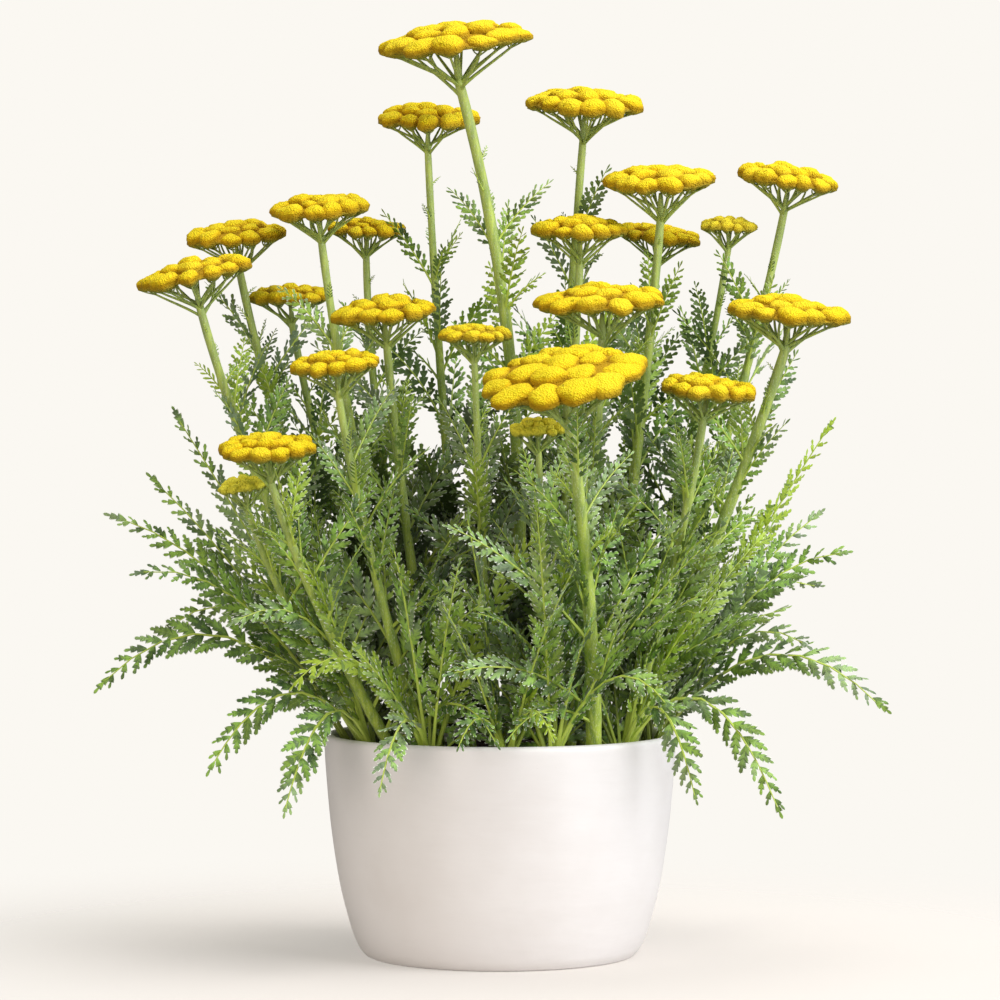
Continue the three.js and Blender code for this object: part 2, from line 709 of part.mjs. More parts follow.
// The nodes as they grow: each node's joined solid, and the separate pieces that others keep clear of
class Growth {
  constructor() {
    this.nodes = new Map();
    this.pieces = [];
  }

  add(owner, solid) {
    const before = this.nodes.get(owner);
    this.nodes.set(owner, before ? before.add(solid) : solid);
    this.pieces.push({ owner, solid, box: solid.boundingBox() });
  }

  // How many facets a leaf's seam would add to its node: many where it crosses another leaf there
  seam(owner, solid) {
    const before = this.nodes.get(owner);
    return before.add(solid).numTri() - before.numTri() - solid.numTri();
  }

  // Adds a leaf in the first bend that clears every other node and, if one can be found, its own leaves
  addLeaf(owner, leaf) {
    const clear = [];
    for (const bend of BENDS) {
      const arms = bendArms(leaf.arms, leaf.azimuth, bend);
      const azimuth = leaf.azimuth + bend.turn;
      const solid = makeLeaf({ ...leaf, arms, azimuth, leaflet: leaf.leaflet * bend.length });
      const made = { solid, box: solid.boundingBox() };
      if (this.pieces.some((other) => other.owner !== owner && near(made, other))) continue;
      if (this.seam(owner, solid) <= LONGEST_SEAM) {
        this.add(owner, solid);
        return;
      }
      clear.push(solid);
    }
    if (clear.length > 0) this.add(owner, clear[0]);
  }
}

// Grows the plant: stalks and blooms first, then the fronds, then the stalks' leaves
function growPlant(pot, soil) {
  const growth = new Growth();
  growth.add("pot", pot);
  growth.add("soil", soil);
  STALKS.forEach((stalk, index) => {
    growth.add(numbered("stalk", index), makeStalk(stalk, index));
    growth.add(numbered("bloom", index), makeBloom(stalk, index));
  });
  TUFTS.forEach((tuft, index) => growth.add(numbered("frond_tuft", index), makeCrown(tuft)));
  TUFTS.forEach((tuft, index) =>
    tuftFronds(tuft, index).forEach((leaf) => growth.addLeaf(numbered("frond_tuft", index), leaf)),
  );
  STALKS.forEach((stalk, index) =>
    stalkLeaves(stalk, index).forEach((leaf) => growth.addLeaf(numbered("stalk", index), leaf)),
  );
  return growth.nodes;
}

function rootSpaces() {
  const stalks = STALKS.map((stalk) => {
    const line = stalkLine(stalk);
    return rootSpace(line.getPoint(0), line.getTangent(0), stalkRadius(stalk, 0));
  });
  const crowns = TUFTS.map(({ foot }) =>
    rootSpace(new THREE.Vector3(...foot, SOIL_TOP), UP, CROWN_RADIUS),
  );
  return [...stalks, ...crowns];
}

const plant = new THREE.Group();
growPlant(makePot(), makeSoil(rootSpaces())).forEach((solid, name) => {
  const finish = Object.keys(FINISHES).find((key) => name.startsWith(key));
  const mesh = new THREE.Mesh(geometryOf(solid), new THREE.MeshStandardMaterial(FINISHES[finish]));
  mesh.name = name;
  plant.add(mesh);
});

export default plant;
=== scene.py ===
"""Fernleaf yarrow in flower, growing in a round white ceramic pot.

Lengths are millimetres and become metres where a mesh is made. The plant's front faces -Y, its
right is +X, and the origin is the middle of the pot's flat base. Every form is a surface worked
out as whole arrays: a profile carried along a path, or a function of two parameters on a grid.
Materials, lights and the camera are in metres, and angles are radians unless said otherwise.
"""

import logging
import math
from dataclasses import dataclass, replace
from enum import Enum

import bpy
import numpy as np
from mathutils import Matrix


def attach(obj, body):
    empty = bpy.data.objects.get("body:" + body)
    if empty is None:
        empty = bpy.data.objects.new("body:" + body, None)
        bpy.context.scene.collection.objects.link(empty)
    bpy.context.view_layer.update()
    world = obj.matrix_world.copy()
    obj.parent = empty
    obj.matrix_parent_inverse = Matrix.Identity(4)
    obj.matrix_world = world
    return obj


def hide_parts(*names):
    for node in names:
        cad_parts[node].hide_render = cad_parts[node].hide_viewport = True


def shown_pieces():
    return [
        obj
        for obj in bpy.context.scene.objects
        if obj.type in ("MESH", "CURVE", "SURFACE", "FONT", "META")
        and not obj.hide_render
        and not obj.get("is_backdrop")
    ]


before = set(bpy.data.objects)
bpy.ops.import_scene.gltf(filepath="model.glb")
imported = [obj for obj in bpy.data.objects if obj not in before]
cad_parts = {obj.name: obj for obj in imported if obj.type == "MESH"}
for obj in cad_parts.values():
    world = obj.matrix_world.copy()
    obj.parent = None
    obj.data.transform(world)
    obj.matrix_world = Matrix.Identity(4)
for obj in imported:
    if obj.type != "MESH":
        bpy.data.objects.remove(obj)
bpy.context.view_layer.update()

Array = np.ndarray
Material = bpy.types.Material
Point = tuple[float, float, float]
Outline = tuple[tuple[float, float], ...]

LOG = logging.getLogger("yarrow")
MILLIMETRE = 0.001
ROOT_BODY = "root"
SEED = 20
UP = np.array([0, 0, 1.0])
GOLDEN_ANGLE = 2.39996
CLUMP_RADIUS = 150
# A leaf rooted further back than the first turns its blade to the back, and one further back than the
# second shows its upper face there.
BACK_DEPTH = 25
FAR_BACK = 60


class Slot(Enum):
    """The record's material slots."""

    POT = "glazed_pot"
    SOIL = "potting_soil"
    STALK = "green_stalk"
    FLORETS = "yellow_florets"
    FROND = "green_frond"


def unit(vectors: Array) -> Array:
    """Vectors scaled to length one."""
    return vectors / np.linalg.norm(vectors, axis=-1, keepdims=True)


def dot(a: Array, b: Array) -> Array:
    """The product of vectors row by row, with a last axis of one kept."""
    return np.sum(a * b, axis=-1, keepdims=True)


def mix(a: float | Array, b: float | Array, t: float | Array) -> float | Array:
    """The value a share t of the way from a to b."""
    return a + (b - a) * t


def draw(a: float | Array, b: float | Array, c: float | Array) -> float | Array:
    """A repeatable draw from 0 to 1 for three whole numbers: the fraction of a steep sine wave."""
    wave = np.sin(a * 12.9898 + b * 78.233 + c * 37.719) * 43758.5453
    return wave - np.floor(wave)


def swing(a: float | Array, b: float | Array, c: float | Array) -> float | Array:
    """The same draw, from -1 to 1."""
    return 2 * draw(a, b, c) - 1


def heading(azimuth: float, rise: float) -> Array:
    """The unit vector that points along an azimuth and climbs at an angle, both in radians."""
    flat = math.cos(rise)
    return np.array([flat * math.cos(azimuth), flat * math.sin(azimuth), math.sin(rise)])


def evenly(count: int) -> Array:
    """Angles of that many corners, evenly spaced round a turn."""
    return 2 * np.pi * np.arange(count) / count


def polar(radius: float | Array, turn: Array, height: float | Array = 0.0) -> Array:
    """Points at a radius and an angle about the upright axis, at a height."""
    return np.stack(np.broadcast_arrays(radius * np.cos(turn), radius * np.sin(turn), height), -1)


def bezier(controls: Array, t: Array) -> tuple[Array, Array]:
    """Points and directions of Bezier curves.

    A point is the sum of the controls, each times its Bernstein product C(n,i) t^i (1-t)^(n-i).
    The direction is the same sum over the differences of the controls.

    Args:
        controls: control points, (..., n + 1, 3).
        t: curve parameters, (k,).

    Returns:
        Points and unit directions, each (..., k, 3).
    """

    def blend(points: Array) -> Array:
        """The Bernstein sum of these points at every t.

        Args:
            points: the controls, (..., n + 1, 3).

        Returns:
            The sum, (..., k, 3).
        """
        n = points.shape[-2] - 1
        weights = np.array([math.comb(n, i) * t**i * (1 - t) ** (n - i) for i in range(n + 1)])
        return np.einsum("ik,...ij->...kj", weights, points)

    return blend(controls), unit(blend(np.diff(controls, axis=-2)))


def by_length(controls: Array, shares: Array) -> tuple[Array, float]:
    """Finds where a curve has run given shares of its length.

    Args:
        controls: control points of one Bezier curve, (n + 1, 3).
        shares: shares of the length, from 0 to 1.

    Returns:
        The curve parameters at those shares, and the curve's length.
    """
    fine = np.linspace(0, 1, 120)
    points, _ = bezier(controls, fine)
    steps = np.linalg.norm(np.diff(points, axis=0), axis=1)
    run = np.concatenate([[0.0], np.cumsum(steps)])
    return np.interp(shares * run[-1], run, fine), float(run[-1])


@dataclass
class Surface:
    """Points, faces over them seen from outside, and marks: named numbers, one a point."""

    points: Array
    quads: Array
    triangles: Array
    marks: dict[str, Array]


def sleeves(rings: Array, starts: Array, ends: Array, **marks: float | Array) -> Surface:
    """Closed skins, each through a row of loops and closed at both ends by a fan.

    Row k and row k + 1 of a skin are joined by a quad on each side; the first loop is closed by
    triangles to the skin's start point and the last by triangles to its end point.

    Args:
        rings: loops of points, turning about the path, (skins, rows, sides, 3).
        starts: the point that closes each skin's first loop, (skins, 3).
        ends: the point that closes each skin's last loop, (skins, 3).
        **marks: values that spread over (skins, rows, sides).

    Returns:
        The surface of all the skins.
    """
    skins, rows, sides = rings.shape[:3]
    here = np.arange(skins * rows * sides).reshape(skins, rows, sides)
    after = np.roll(here, -1, axis=2)
    quads = np.stack([here[:, :-1], after[:, :-1], after[:, 1:], here[:, 1:]], -1)
    first = np.broadcast_to(here.size + np.arange(skins)[:, None], (skins, sides))
    last = first + skins
    fans = [
        np.stack([first, after[:, 0], here[:, 0]], -1),
        np.stack([last, here[:, -1], after[:, -1]], -1),
    ]
    spread = {}
    for name, value in marks.items():
        whole = np.broadcast_to(value, (skins, rows, sides))
        closing = [whole[:, 0].mean(1), whole[:, -1].mean(1)]
        spread[name] = np.concatenate([whole.ravel(), *closing])
    return Surface(
        np.concatenate([rings.reshape(-1, 3), starts, ends]),
        quads.reshape(-1, 4),
        np.concatenate(fans).reshape(-1, 3),
        spread,
    )


def tubes(paths: Array, radii: Array, sides: int, ribs: float = 0.0, **marks: float | Array) -> Surface:
    """Round rods along paths: a circle across the path's direction at each station.

    The circle's axes are the direction crossed with the axis that the rod runs along least, and
    the direction crossed with that. Every second corner is drawn in by the share called ribs.

    Args:
        paths: stations, (rods, stations, 3).
        radii: radius at each station, spreading over (rods, stations).
        sides: corners of the circle.
        ribs: how deep the grooves along the rod are, as a share of its radius.
        **marks: values that spread over (rods, stations, sides).

    Returns:
        The closed surface of all the rods.
    """
    along = unit(np.gradient(paths, axis=1))
    reference = np.eye(3)[np.argmin(np.abs(paths[:, -1] - paths[:, 0]), axis=1)][:, None]
    right = unit(np.cross(along, reference))
    back = np.cross(along, right)
    turn = evenly(sides)
    grooved = (1 - ribs * (np.arange(sides) % 2))[:, None]
    reach = np.broadcast_to(radii, paths.shape[:2])[..., None, None] * grooved
    spokes = right[:, :, None] * np.cos(turn)[:, None] + back[:, :, None] * np.sin(turn)[:, None]
    rings = paths[:, :, None] + reach * spokes
    return sleeves(rings, paths[:, 0], paths[:, -1], **marks)


class Skin:
    """A piece's mesh as it is gathered from surfaces."""

    def __init__(self, *marks: str) -> None:
        """Starts an empty mesh whose points carry these marks."""
        self.marks = marks
        self.parts: list[tuple[Surface, int | Array]] = []

    def add(self, surface: Surface, finish: int | Array = 0) -> None:
        """Adds a surface, dressed in the finish of that number, or one number for each face."""
        self.parts.append((surface, finish))

    def triangles(self) -> int:
        """How many triangles the mesh has so far."""
        return sum(2 * len(part.quads) + len(part.triangles) for part, _ in self.parts)

    def piece(self, name: str, slot: Slot, finishes: list[Material], *nodes: str) -> bpy.types.Object:
        """Makes the mesh an object that rides on the plant's body.

        Args:
            name: the object's name.
            slot: the record's slot for its finish; not used.
            finishes: its materials, in the order of their numbers.
            *nodes: the CAD nodes that it stands for.

        Returns:
            The new object.
        """
        offsets = np.cumsum([0] + [len(part.points) for part, _ in self.parts])
        corners, sizes, numbers = [], [], []
        for (part, finish), offset in zip(self.parts, offsets):
            for faces in (part.quads, part.triangles):
                corners.append((faces + offset).ravel())
                sizes.append(np.full(len(faces), faces.shape[1]))
            numbers.append(np.broadcast_to(finish, len(part.quads) + len(part.triangles)))
        points = np.concatenate([part.points for part, _ in self.parts]) * MILLIMETRE
        size = np.concatenate(sizes)
        mesh = bpy.data.meshes.new(name)
        mesh.vertices.add(len(points))
        mesh.vertices.foreach_set("co", points.astype(np.float32).ravel())
        mesh.loops.add(int(size.sum()))
        mesh.loops.foreach_set("vertex_index", np.concatenate(corners).astype(np.int32))
        mesh.polygons.add(len(size))
        starts = np.concatenate([[0], np.cumsum(size)[:-1]])
        mesh.polygons.foreach_set("loop_start", starts.astype(np.int32))
        mesh.polygons.foreach_set("material_index", np.concatenate(numbers).astype(np.int32))
        mesh.polygons.foreach_set("use_smooth", np.ones(len(size), bool))
        for mark in self.marks:
            values = np.concatenate([part.marks[mark] for part, _ in self.parts])
            layer = mesh.attributes.new(mark, "FLOAT", "POINT")
            layer.data.foreach_set("value", values.astype(np.float32))
        mesh.update(calc_edges=True)
        for finish in finishes:
            mesh.materials.append(finish)
        made = bpy.data.objects.new(name, mesh)
        bpy.context.scene.collection.objects.link(made)
        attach(made, ROOT_BODY)
        if nodes:
            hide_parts(*nodes)
        LOG.info("%s: %d triangles", name, self.triangles())
        return made


def paint(code: int) -> tuple[float, float, float, float]:
    """A colour given as on screen, 0xRRGGBB, in the linear values that shaders use.

    Args:
        code: the colour as on screen, 0xRRGGBB.

    Returns:
        Red, green, blue and an alpha of 1.
    """
    parts = [((code >> shift) & 255) / 255 for shift in (16, 8, 0)]
    linear = [c / 12.92 if c <= 0.04045 else ((c + 0.055) / 1.055) ** 2.4 for c in parts]
    return (*linear, 1.0)


class Signal:
    """A shader's socket while its material is made; sums on it add Math nodes."""

    def __init__(self, graph: "Graph", socket: bpy.types.NodeSocket) -> None:
        """Wraps an output socket of a graph."""
        self.graph = graph
        self.socket = socket

    def _maths(self, operation: str, first: "Signal | float", second: "Signal | float") -> "Signal":
        """The Math node of that operation on two values."""
        return self.graph.add("ShaderNodeMath", {"operation": operation}, {0: first, 1: second})

    def __add__(self, other: "Signal | float") -> "Signal":
        """Sum."""
        return self._maths("ADD", self, other)

    def __radd__(self, other: float) -> "Signal":
        """Sum, with the number first."""
        return self._maths("ADD", other, self)

    def __sub__(self, other: "Signal | float") -> "Signal":
        """Difference."""
        return self._maths("SUBTRACT", self, other)

    def __rsub__(self, other: float) -> "Signal":
        """Difference, with the number first."""
        return self._maths("SUBTRACT", other, self)

    def __mul__(self, other: "Signal | float") -> "Signal":
        """Product."""
        return self._maths("MULTIPLY", self, other)

    def __rmul__(self, other: float) -> "Signal":
        """Product, with the number first."""
        return self._maths("MULTIPLY", other, self)

    def over(self, low: float, high: float) -> "Signal":
        """A smooth step from 0 at low to 1 at high."""
        settings = {"interpolation_type": "SMOOTHSTEP"}
        return self.graph.add("ShaderNodeMapRange", settings, {0: self, 1: low, 2: high})


class Graph:
    """A material's node tree."""

    def __init__(self, name: str) -> None:
        """Starts an empty material, with the place of each point at hand.

        Args:
            name: the material's name.
        """
        self.material = bpy.data.materials.new(name)
        self.material.use_nodes = True
        self.tree = self.material.node_tree
        self.tree.nodes.clear()
        self.place = self.add("ShaderNodeTexCoord", output="Object")

    def add(
        self,
        kind: str,
        settings: dict[str, object] | None = None,
        sockets: dict[int | str, object] | None = None,
        output: int | str = 0,
    ) -> Signal | None:
        """Adds a node.

        Args:
            kind: the node's type.
            settings: its properties, set first.
            sockets: what its inputs hold or are linked to, by name or number.
            output: the output socket to give back.

        Returns:
            The wrapped output, or None for a node that has no output.
        """
        node = self.tree.nodes.new(kind)
        for key, value in (settings or {}).items():
            setattr(node, key, value)
        for key, value in (sockets or {}).items():
            if isinstance(value, Signal):
                self.tree.links.new(value.socket, node.inputs[key])
            else:
                node.inputs[key].default_value = value
        return Signal(self, node.outputs[output]) if node.outputs else None

    def mark(self, name: str) -> Signal:
        """A mark that the mesh carries."""
        return self.add("ShaderNodeAttribute", {"attribute_name": name}, output="Fac")

    def noise(self, scale: float, detail: float, stretch: Point | None = None) -> Signal:
        """Cloudy noise from 0 to 1.

        Args:
            scale: features a metre.
            detail: octaves of finer noise.
            stretch: factors on the coordinates, for streaks.

        Returns:
            The noise.
        """
        place = self.place
        if stretch:
            place = self.add("ShaderNodeMapping", None, {"Vector": place, "Scale": stretch})
        return self.add("ShaderNodeTexNoise", None, {"Vector": place, "Scale": scale, "Detail": detail})

    def distance(self, centre: Point, size: Point) -> Signal:
        """How far a place is from a centre, where the ellipsoid with those half axes is at 1.

        Args:
            centre: the ellipsoid's middle, in metres.
            size: its half axes, in metres.

        Returns:
            The distance.
        """
        factors = tuple(1 / extent for extent in size)
        scaled = self.add("ShaderNodeVectorMath", {"operation": "MULTIPLY"}, {0: self.place, 1: factors})
        middle = tuple(place / extent for place, extent in zip(centre, size))
        return self.add("ShaderNodeVectorMath", {"operation": "DISTANCE"}, {0: scaled, 1: middle}, "Value")

    def blend(self, share: "Signal | float", a: object, b: object) -> Signal:
        """A colour that is a share of the way from a to b."""
        sockets = {0: share, 6: a, 7: b}
        return self.add("ShaderNodeMix", {"data_type": "RGBA"}, sockets, 2)

    def finish(self, height: Signal | None, depth: float, **sockets: object) -> Material:
        """Ends the material with a Principled shader.

        Args:
            height: relief from 0 to 1, or None.
            depth: the relief's depth in metres.
            **sockets: the shader's inputs, with _ for a space in their names.

        Returns:
            The material.
        """
        inputs = {name.replace("_", " "): value for name, value in sockets.items()}
        if height is not None:
            bump = {"Height": height, "Distance": depth, "Strength": 1.0}
            inputs["Normal"] = self.add("ShaderNodeBump", None, bump)
        shader = self.add("ShaderNodeBsdfPrincipled", None, inputs)
        self.add("ShaderNodeOutputMaterial", None, {"Surface": shader})
        return self.material


@dataclass(frozen=True)
class GlazeFinish:
    """Satin white glaze: a warm white with faint clouds, pinholes and a soft gloss."""

    glaze: int = 0xF7F5F4
    shade: int = 0xF0EDEB
    pinhole: int = 0xB9AA98
    roughness: float = 0.42
    gloss: float = 0.2

    def material(self) -> Material:
        """Makes the material.

        Returns:
            The material.
        """
        graph = Graph("pot_glaze")
        cloud = graph.noise(14.0, 4.0)
        pinholes = graph.noise(900.0, 2.0).over(0.70, 0.78)
        colour = graph.blend(cloud.over(0.35, 0.75), paint(self.glaze), paint(self.shade))
        colour = graph.blend(pinholes * 0.10, colour, paint(self.pinhole))
        ripple = graph.noise(60.0, 2.0, (0.4, 0.4, 1.6)) + pinholes * 0.15
        return graph.finish(
            ripple,
            0.0004,
            Base_Color=colour,
            Roughness=cloud * 0.12 + self.roughness,
            Coat_Weight=self.gloss,
            Coat_Roughness=0.25,
        )


@dataclass(frozen=True)
class SoilFinish:
    """Dark, crumbly potting soil with paler grit."""

    moist: int = 0x1F1610
    dry: int = 0x4A3728
    grit: int = 0x6E5A45

    def material(self) -> Material:
        """Makes the material.

        Returns:
            The material.
        """
        graph = Graph("potting_soil")
        lumps = graph.noise(220.0, 6.0)
        grains = graph.noise(900.0, 2.0).over(0.62, 0.72)
        colour = graph.blend(lumps.over(0.35, 0.7), paint(self.moist), paint(self.dry))
        colour = graph.blend(grains * 0.5, colour, paint(self.grit))
        return graph.finish(lumps, 0.003, Base_Color=colour, Roughness=0.95)


@dataclass(frozen=True)
class StemFinish:
    """Ribbed green stem under fine white down, paler where young."""

    green: int = 0xC2D846
    pale: int = 0xBAC884
    shade: int = 0x7C9C2C
    down: int = 0xDDE3C0
    sheen: int = 0xE9EED8

    def material(self) -> Material:
        """Makes the material.

        Returns:
            The material.
        """
        graph = Graph("downy_stem")
        streak = graph.noise(330.0, 3.0, (1.0, 1.0, 0.12))
        hairs = graph.noise(1500.0, 2.0, (1.0, 1.0, 0.35)).over(0.52, 0.7)
        colour = graph.blend(streak.over(0.3, 0.7), paint(self.shade), paint(self.green))
        colour = graph.blend(graph.mark("pale") * 0.8, colour, paint(self.pale))
        colour = graph.blend(hairs * 0.42, colour, paint(self.down))
        return graph.finish(
            streak + hairs * 0.5,
            0.0003,
            Base_Color=colour,
            Roughness=0.62,
            Sheen_Weight=0.25,
            Sheen_Roughness=0.5,
            Sheen_Tint=paint(self.sheen),
        )


@dataclass(frozen=True)
class LeafFinish:
    """Ferny leaf: green in patches with pale ribs and downy margins, bright while young.

    Toward the heart of the clump it is painted darker: painted shade, as leaves there are shaded.

    Attributes:
        name: the material's name.
        old: the lighter patches.
        deep: the darker patches.
        grey: a bloom over wide parts of the clump.
        young: a young leaf.
        rib: the ribs.
        down: the fine white hairs.
        heart_shade: the colour of the painted shade at the clump's heart.
        sheen: the sheen's tint.
        margin: how strongly the hairs show along the margins.
        midrib: how strongly the ribs' own colour shows.
        heart: the middle of the clump's heart, where the painted shade is darkest.
        heart_size: its half axes.
        heart_shade_share: how strongly the painted shade darkens the leaves there.
    """

    name: str = "downy_leaf"
    old: int = 0x94C44E
    deep: int = 0x2C5214
    grey: int = 0xB4C4A8
    young: int = 0xB2D030
    rib: int = 0xCADF5C
    down: int = 0xFAFCF2
    heart_shade: int = 0x14200A
    sheen: int = 0xEAF0DC
    margin: float = 1.0
    midrib: float = 0.85
    heart: Point = (0, 0.02, 0.20)
    heart_size: Point = (0.19, 0.12, 0.22)
    heart_shade_share: float = 0.75

    def material(self) -> Material:
        """Makes the material.

        Returns:
            The material.
        """
        graph = Graph(self.name)
        tone, rib = graph.mark("tone"), graph.mark("rib")
        patch = graph.noise(70.0, 3.0)
        fine = graph.noise(1300.0, 3.0)
        colour = graph.blend(patch.over(0.34, 0.66), paint(self.deep), paint(self.old))
        colour = graph.blend(graph.noise(16.0, 1.0).over(0.45, 0.65) * 0.34, colour, paint(self.grey))
        colour = graph.blend(tone, colour, paint(self.young))
        colour = graph.blend(fine.over(0.5, 0.75) * 0.12, colour, paint(self.down))
        colour = graph.blend((1 - rib).over(0.74, 0.95) * self.margin, colour, paint(self.down))
        colour = graph.blend(rib.over(0.78, 1.0) * self.midrib, colour, paint(self.rib))
        # Painted shade: the leaves are darkened toward the clump's heart, where they lie in shade.
        away = graph.distance(self.heart, self.heart_size)
        colour = graph.blend((1 - away.over(0.45, 1.05)) * self.heart_shade_share, colour, paint(self.heart_shade))
        return graph.finish(
            fine,
            0.0002,
            Base_Color=colour,
            Roughness=0.5,
            Sheen_Weight=0.3,
            Sheen_Roughness=0.35,
            Sheen_Tint=paint(self.sheen),
        )


UNDERSIDE = LeafFinish("leaf_underside", old=0x69864E, deep=0x466432, young=0x86A83A, margin=0.0)


@dataclass(frozen=True)
class FloretFinish:
    """Yellow florets, green underneath, with painted light and shade: brightest on their tops as a painted
    highlight, amber in the gaps as painted shade.
    """

    # bright is a painted highlight for tops, warm the middle, and gap the painted shade in creases and
    # between florets.
    bright: int = 0xFDE81C
    warm: int = 0xF2CA0A
    gap: int = 0xB89006
    green: int = 0x98A043
    # unripe is partly painted light: young heads' own paler yellow, made brighter still to lift young heads
    # lying in the shade of larger ones.
    unripe: int = 0xFFF850
    grains: float = 720.0

    def material(self) -> Material:
        """Makes the material.

        Returns:
            The material.
        """
        graph = Graph("yellow_florets")
        rise, tone, under = graph.mark("rise"), graph.mark("tone"), graph.mark("under")
        sockets = {"Vector": graph.place, "Scale": self.grains}
        cell = graph.add("ShaderNodeTexVoronoi", None, sockets, "Distance")
        grain = 1 - cell.over(0.12, 0.75)
        patch = graph.noise(140.0, 2.0)
        # Painted light and shade: amber low on each lump and in its creases, bright on its top and each
        # floret's grain, amber again between florets.
        colour = graph.blend(rise.over(0.0, 0.6), paint(self.gap), paint(self.warm))
        colour = graph.blend((rise * 0.8 + grain * 0.4).over(0.35, 0.95), colour, paint(self.bright))
        colour = graph.blend((1 - grain) * 0.35, colour, paint(self.gap))
        colour = graph.blend(patch.over(0.5, 0.8) * 0.15, colour, paint(self.warm))
        # Partly painted light: young heads take the brighter unripe colour.
        colour = graph.blend(tone, colour, paint(self.unripe))
        colour = graph.blend(under, colour, paint(self.green))
        return graph.finish(grain, 0.0007, Base_Color=colour, Roughness=0.8, Specular_IOR_Level=0.2)


@dataclass(frozen=True)
class FloorFinish:
    """Pale studio floor, clearest away from the pot, where it fades into the backdrop.

    Attributes:
        paper: the floor's colour.
        near: distance from the pot's middle up to which it is least clear, in metres.
        far: distance from which it is wholly clear.
        least: how clear it is at least.
    """

    paper: int = 0xE9E1DA
    near: float = 0.16
    far: float = 0.62
    least: float = 0.36

    def material(self) -> Material:
        """Makes the material.

        Returns:
            The material.
        """
        graph = Graph("studio_floor")
        away = graph.add("ShaderNodeVectorMath", {"operation": "LENGTH"}, {0: graph.place}, "Value")
        matt = graph.add("ShaderNodeBsdfDiffuse", None, {"Color": paint(self.paper)})
        clear = graph.add("ShaderNodeBsdfTransparent")
        share = away.over(self.near, self.far) * (1 - self.least) + self.least
        shader = graph.add("ShaderNodeMixShader", None, {0: share, 1: matt, 2: clear})
        graph.add("ShaderNodeOutputMaterial", None, {"Surface": shader})
        return graph.material


@dataclass
class Pot:
    """The glazed pot: one lathe of its outline, its rounded lip and its hollow.

    Attributes:
        outline: radius and height of the outside, from the base up.
        hollow: radius and height of the inside, from below the lip down.
        height: the pot's height.
        floor: height of the hollow's floor.
        lip: the lip's radius in section.
        segments: corners of a ring.
    """

    outline: Outline = (
        (91, 0), (93.4, 1.6), (97.6, 8), (102.6, 21.8), (109.6, 50), (115.4, 88), (119, 128), (120, 147.5),
    )
    hollow: Outline = ((112.6, 143), (111, 110), (102.4, 50), (92, 14), (82, 8))
    height: float = 151
    floor: float = 8
    lip: float = 3.5
    segments: int = 96

    def smooth(self, corners: Array, steps: int) -> Array:
        """A curve through the corners.

        Between two corners it is the cubic that leaves each along the line between its
        neighbours (Catmull-Rom), sampled evenly.

        Args:
            corners: radius and height of each corner, (n, 2).
            steps: samples between two corners.

        Returns:
            The curve's points.
        """
        ends = [2 * corners[0] - corners[1], 2 * corners[-1] - corners[-2]]
        padded = np.concatenate([ends[:1], corners, ends[1:]])
        t = (np.arange(steps) / steps)[:, None, None]
        a, b, c, d = padded[:-3], padded[1:-2], padded[2:-1], padded[3:]
        square = (2 * a - 5 * b + 4 * c - d) * t**2
        cube = (3 * b - a - 3 * c + d) * t**3
        curve = 0.5 * (2 * b + (c - a) * t + square + cube)
        return np.concatenate([curve.transpose(1, 0, 2).reshape(-1, 2), corners[-1:]])

    def profile(self) -> Array:
        """The outline from the base up, over the lip and down the hollow to the floor.

        Returns:
            Radius and height of each point, (n, 2).
        """
        turn = np.linspace(0.15, 0.93, 9) * np.pi
        radius = self.outline[-1][0] - self.lip + self.lip * np.cos(turn)
        height = self.height - self.lip + self.lip * np.sin(turn)
        outside = self.smooth(np.array(self.outline, float), 7)
        inside = self.smooth(np.array(self.hollow, float), 5)
        return np.concatenate([outside, np.stack([radius, height], 1), inside])

    def build(self, glaze: Material) -> bpy.types.Object:
        """Makes the pot: its profile turned about the upright axis.

        Args:
            glaze: its material.

        Returns:
            The pot's object.
        """
        profile = self.profile()
        rings = polar(profile[:, None, 0], evenly(self.segments), profile[:, None, 1])
        skin = Skin()
        skin.add(sleeves(rings[None], np.zeros((1, 3)), self.floor * UP[None]))
        return skin.piece("pot_body", Slot.POT, [glaze], "pot")


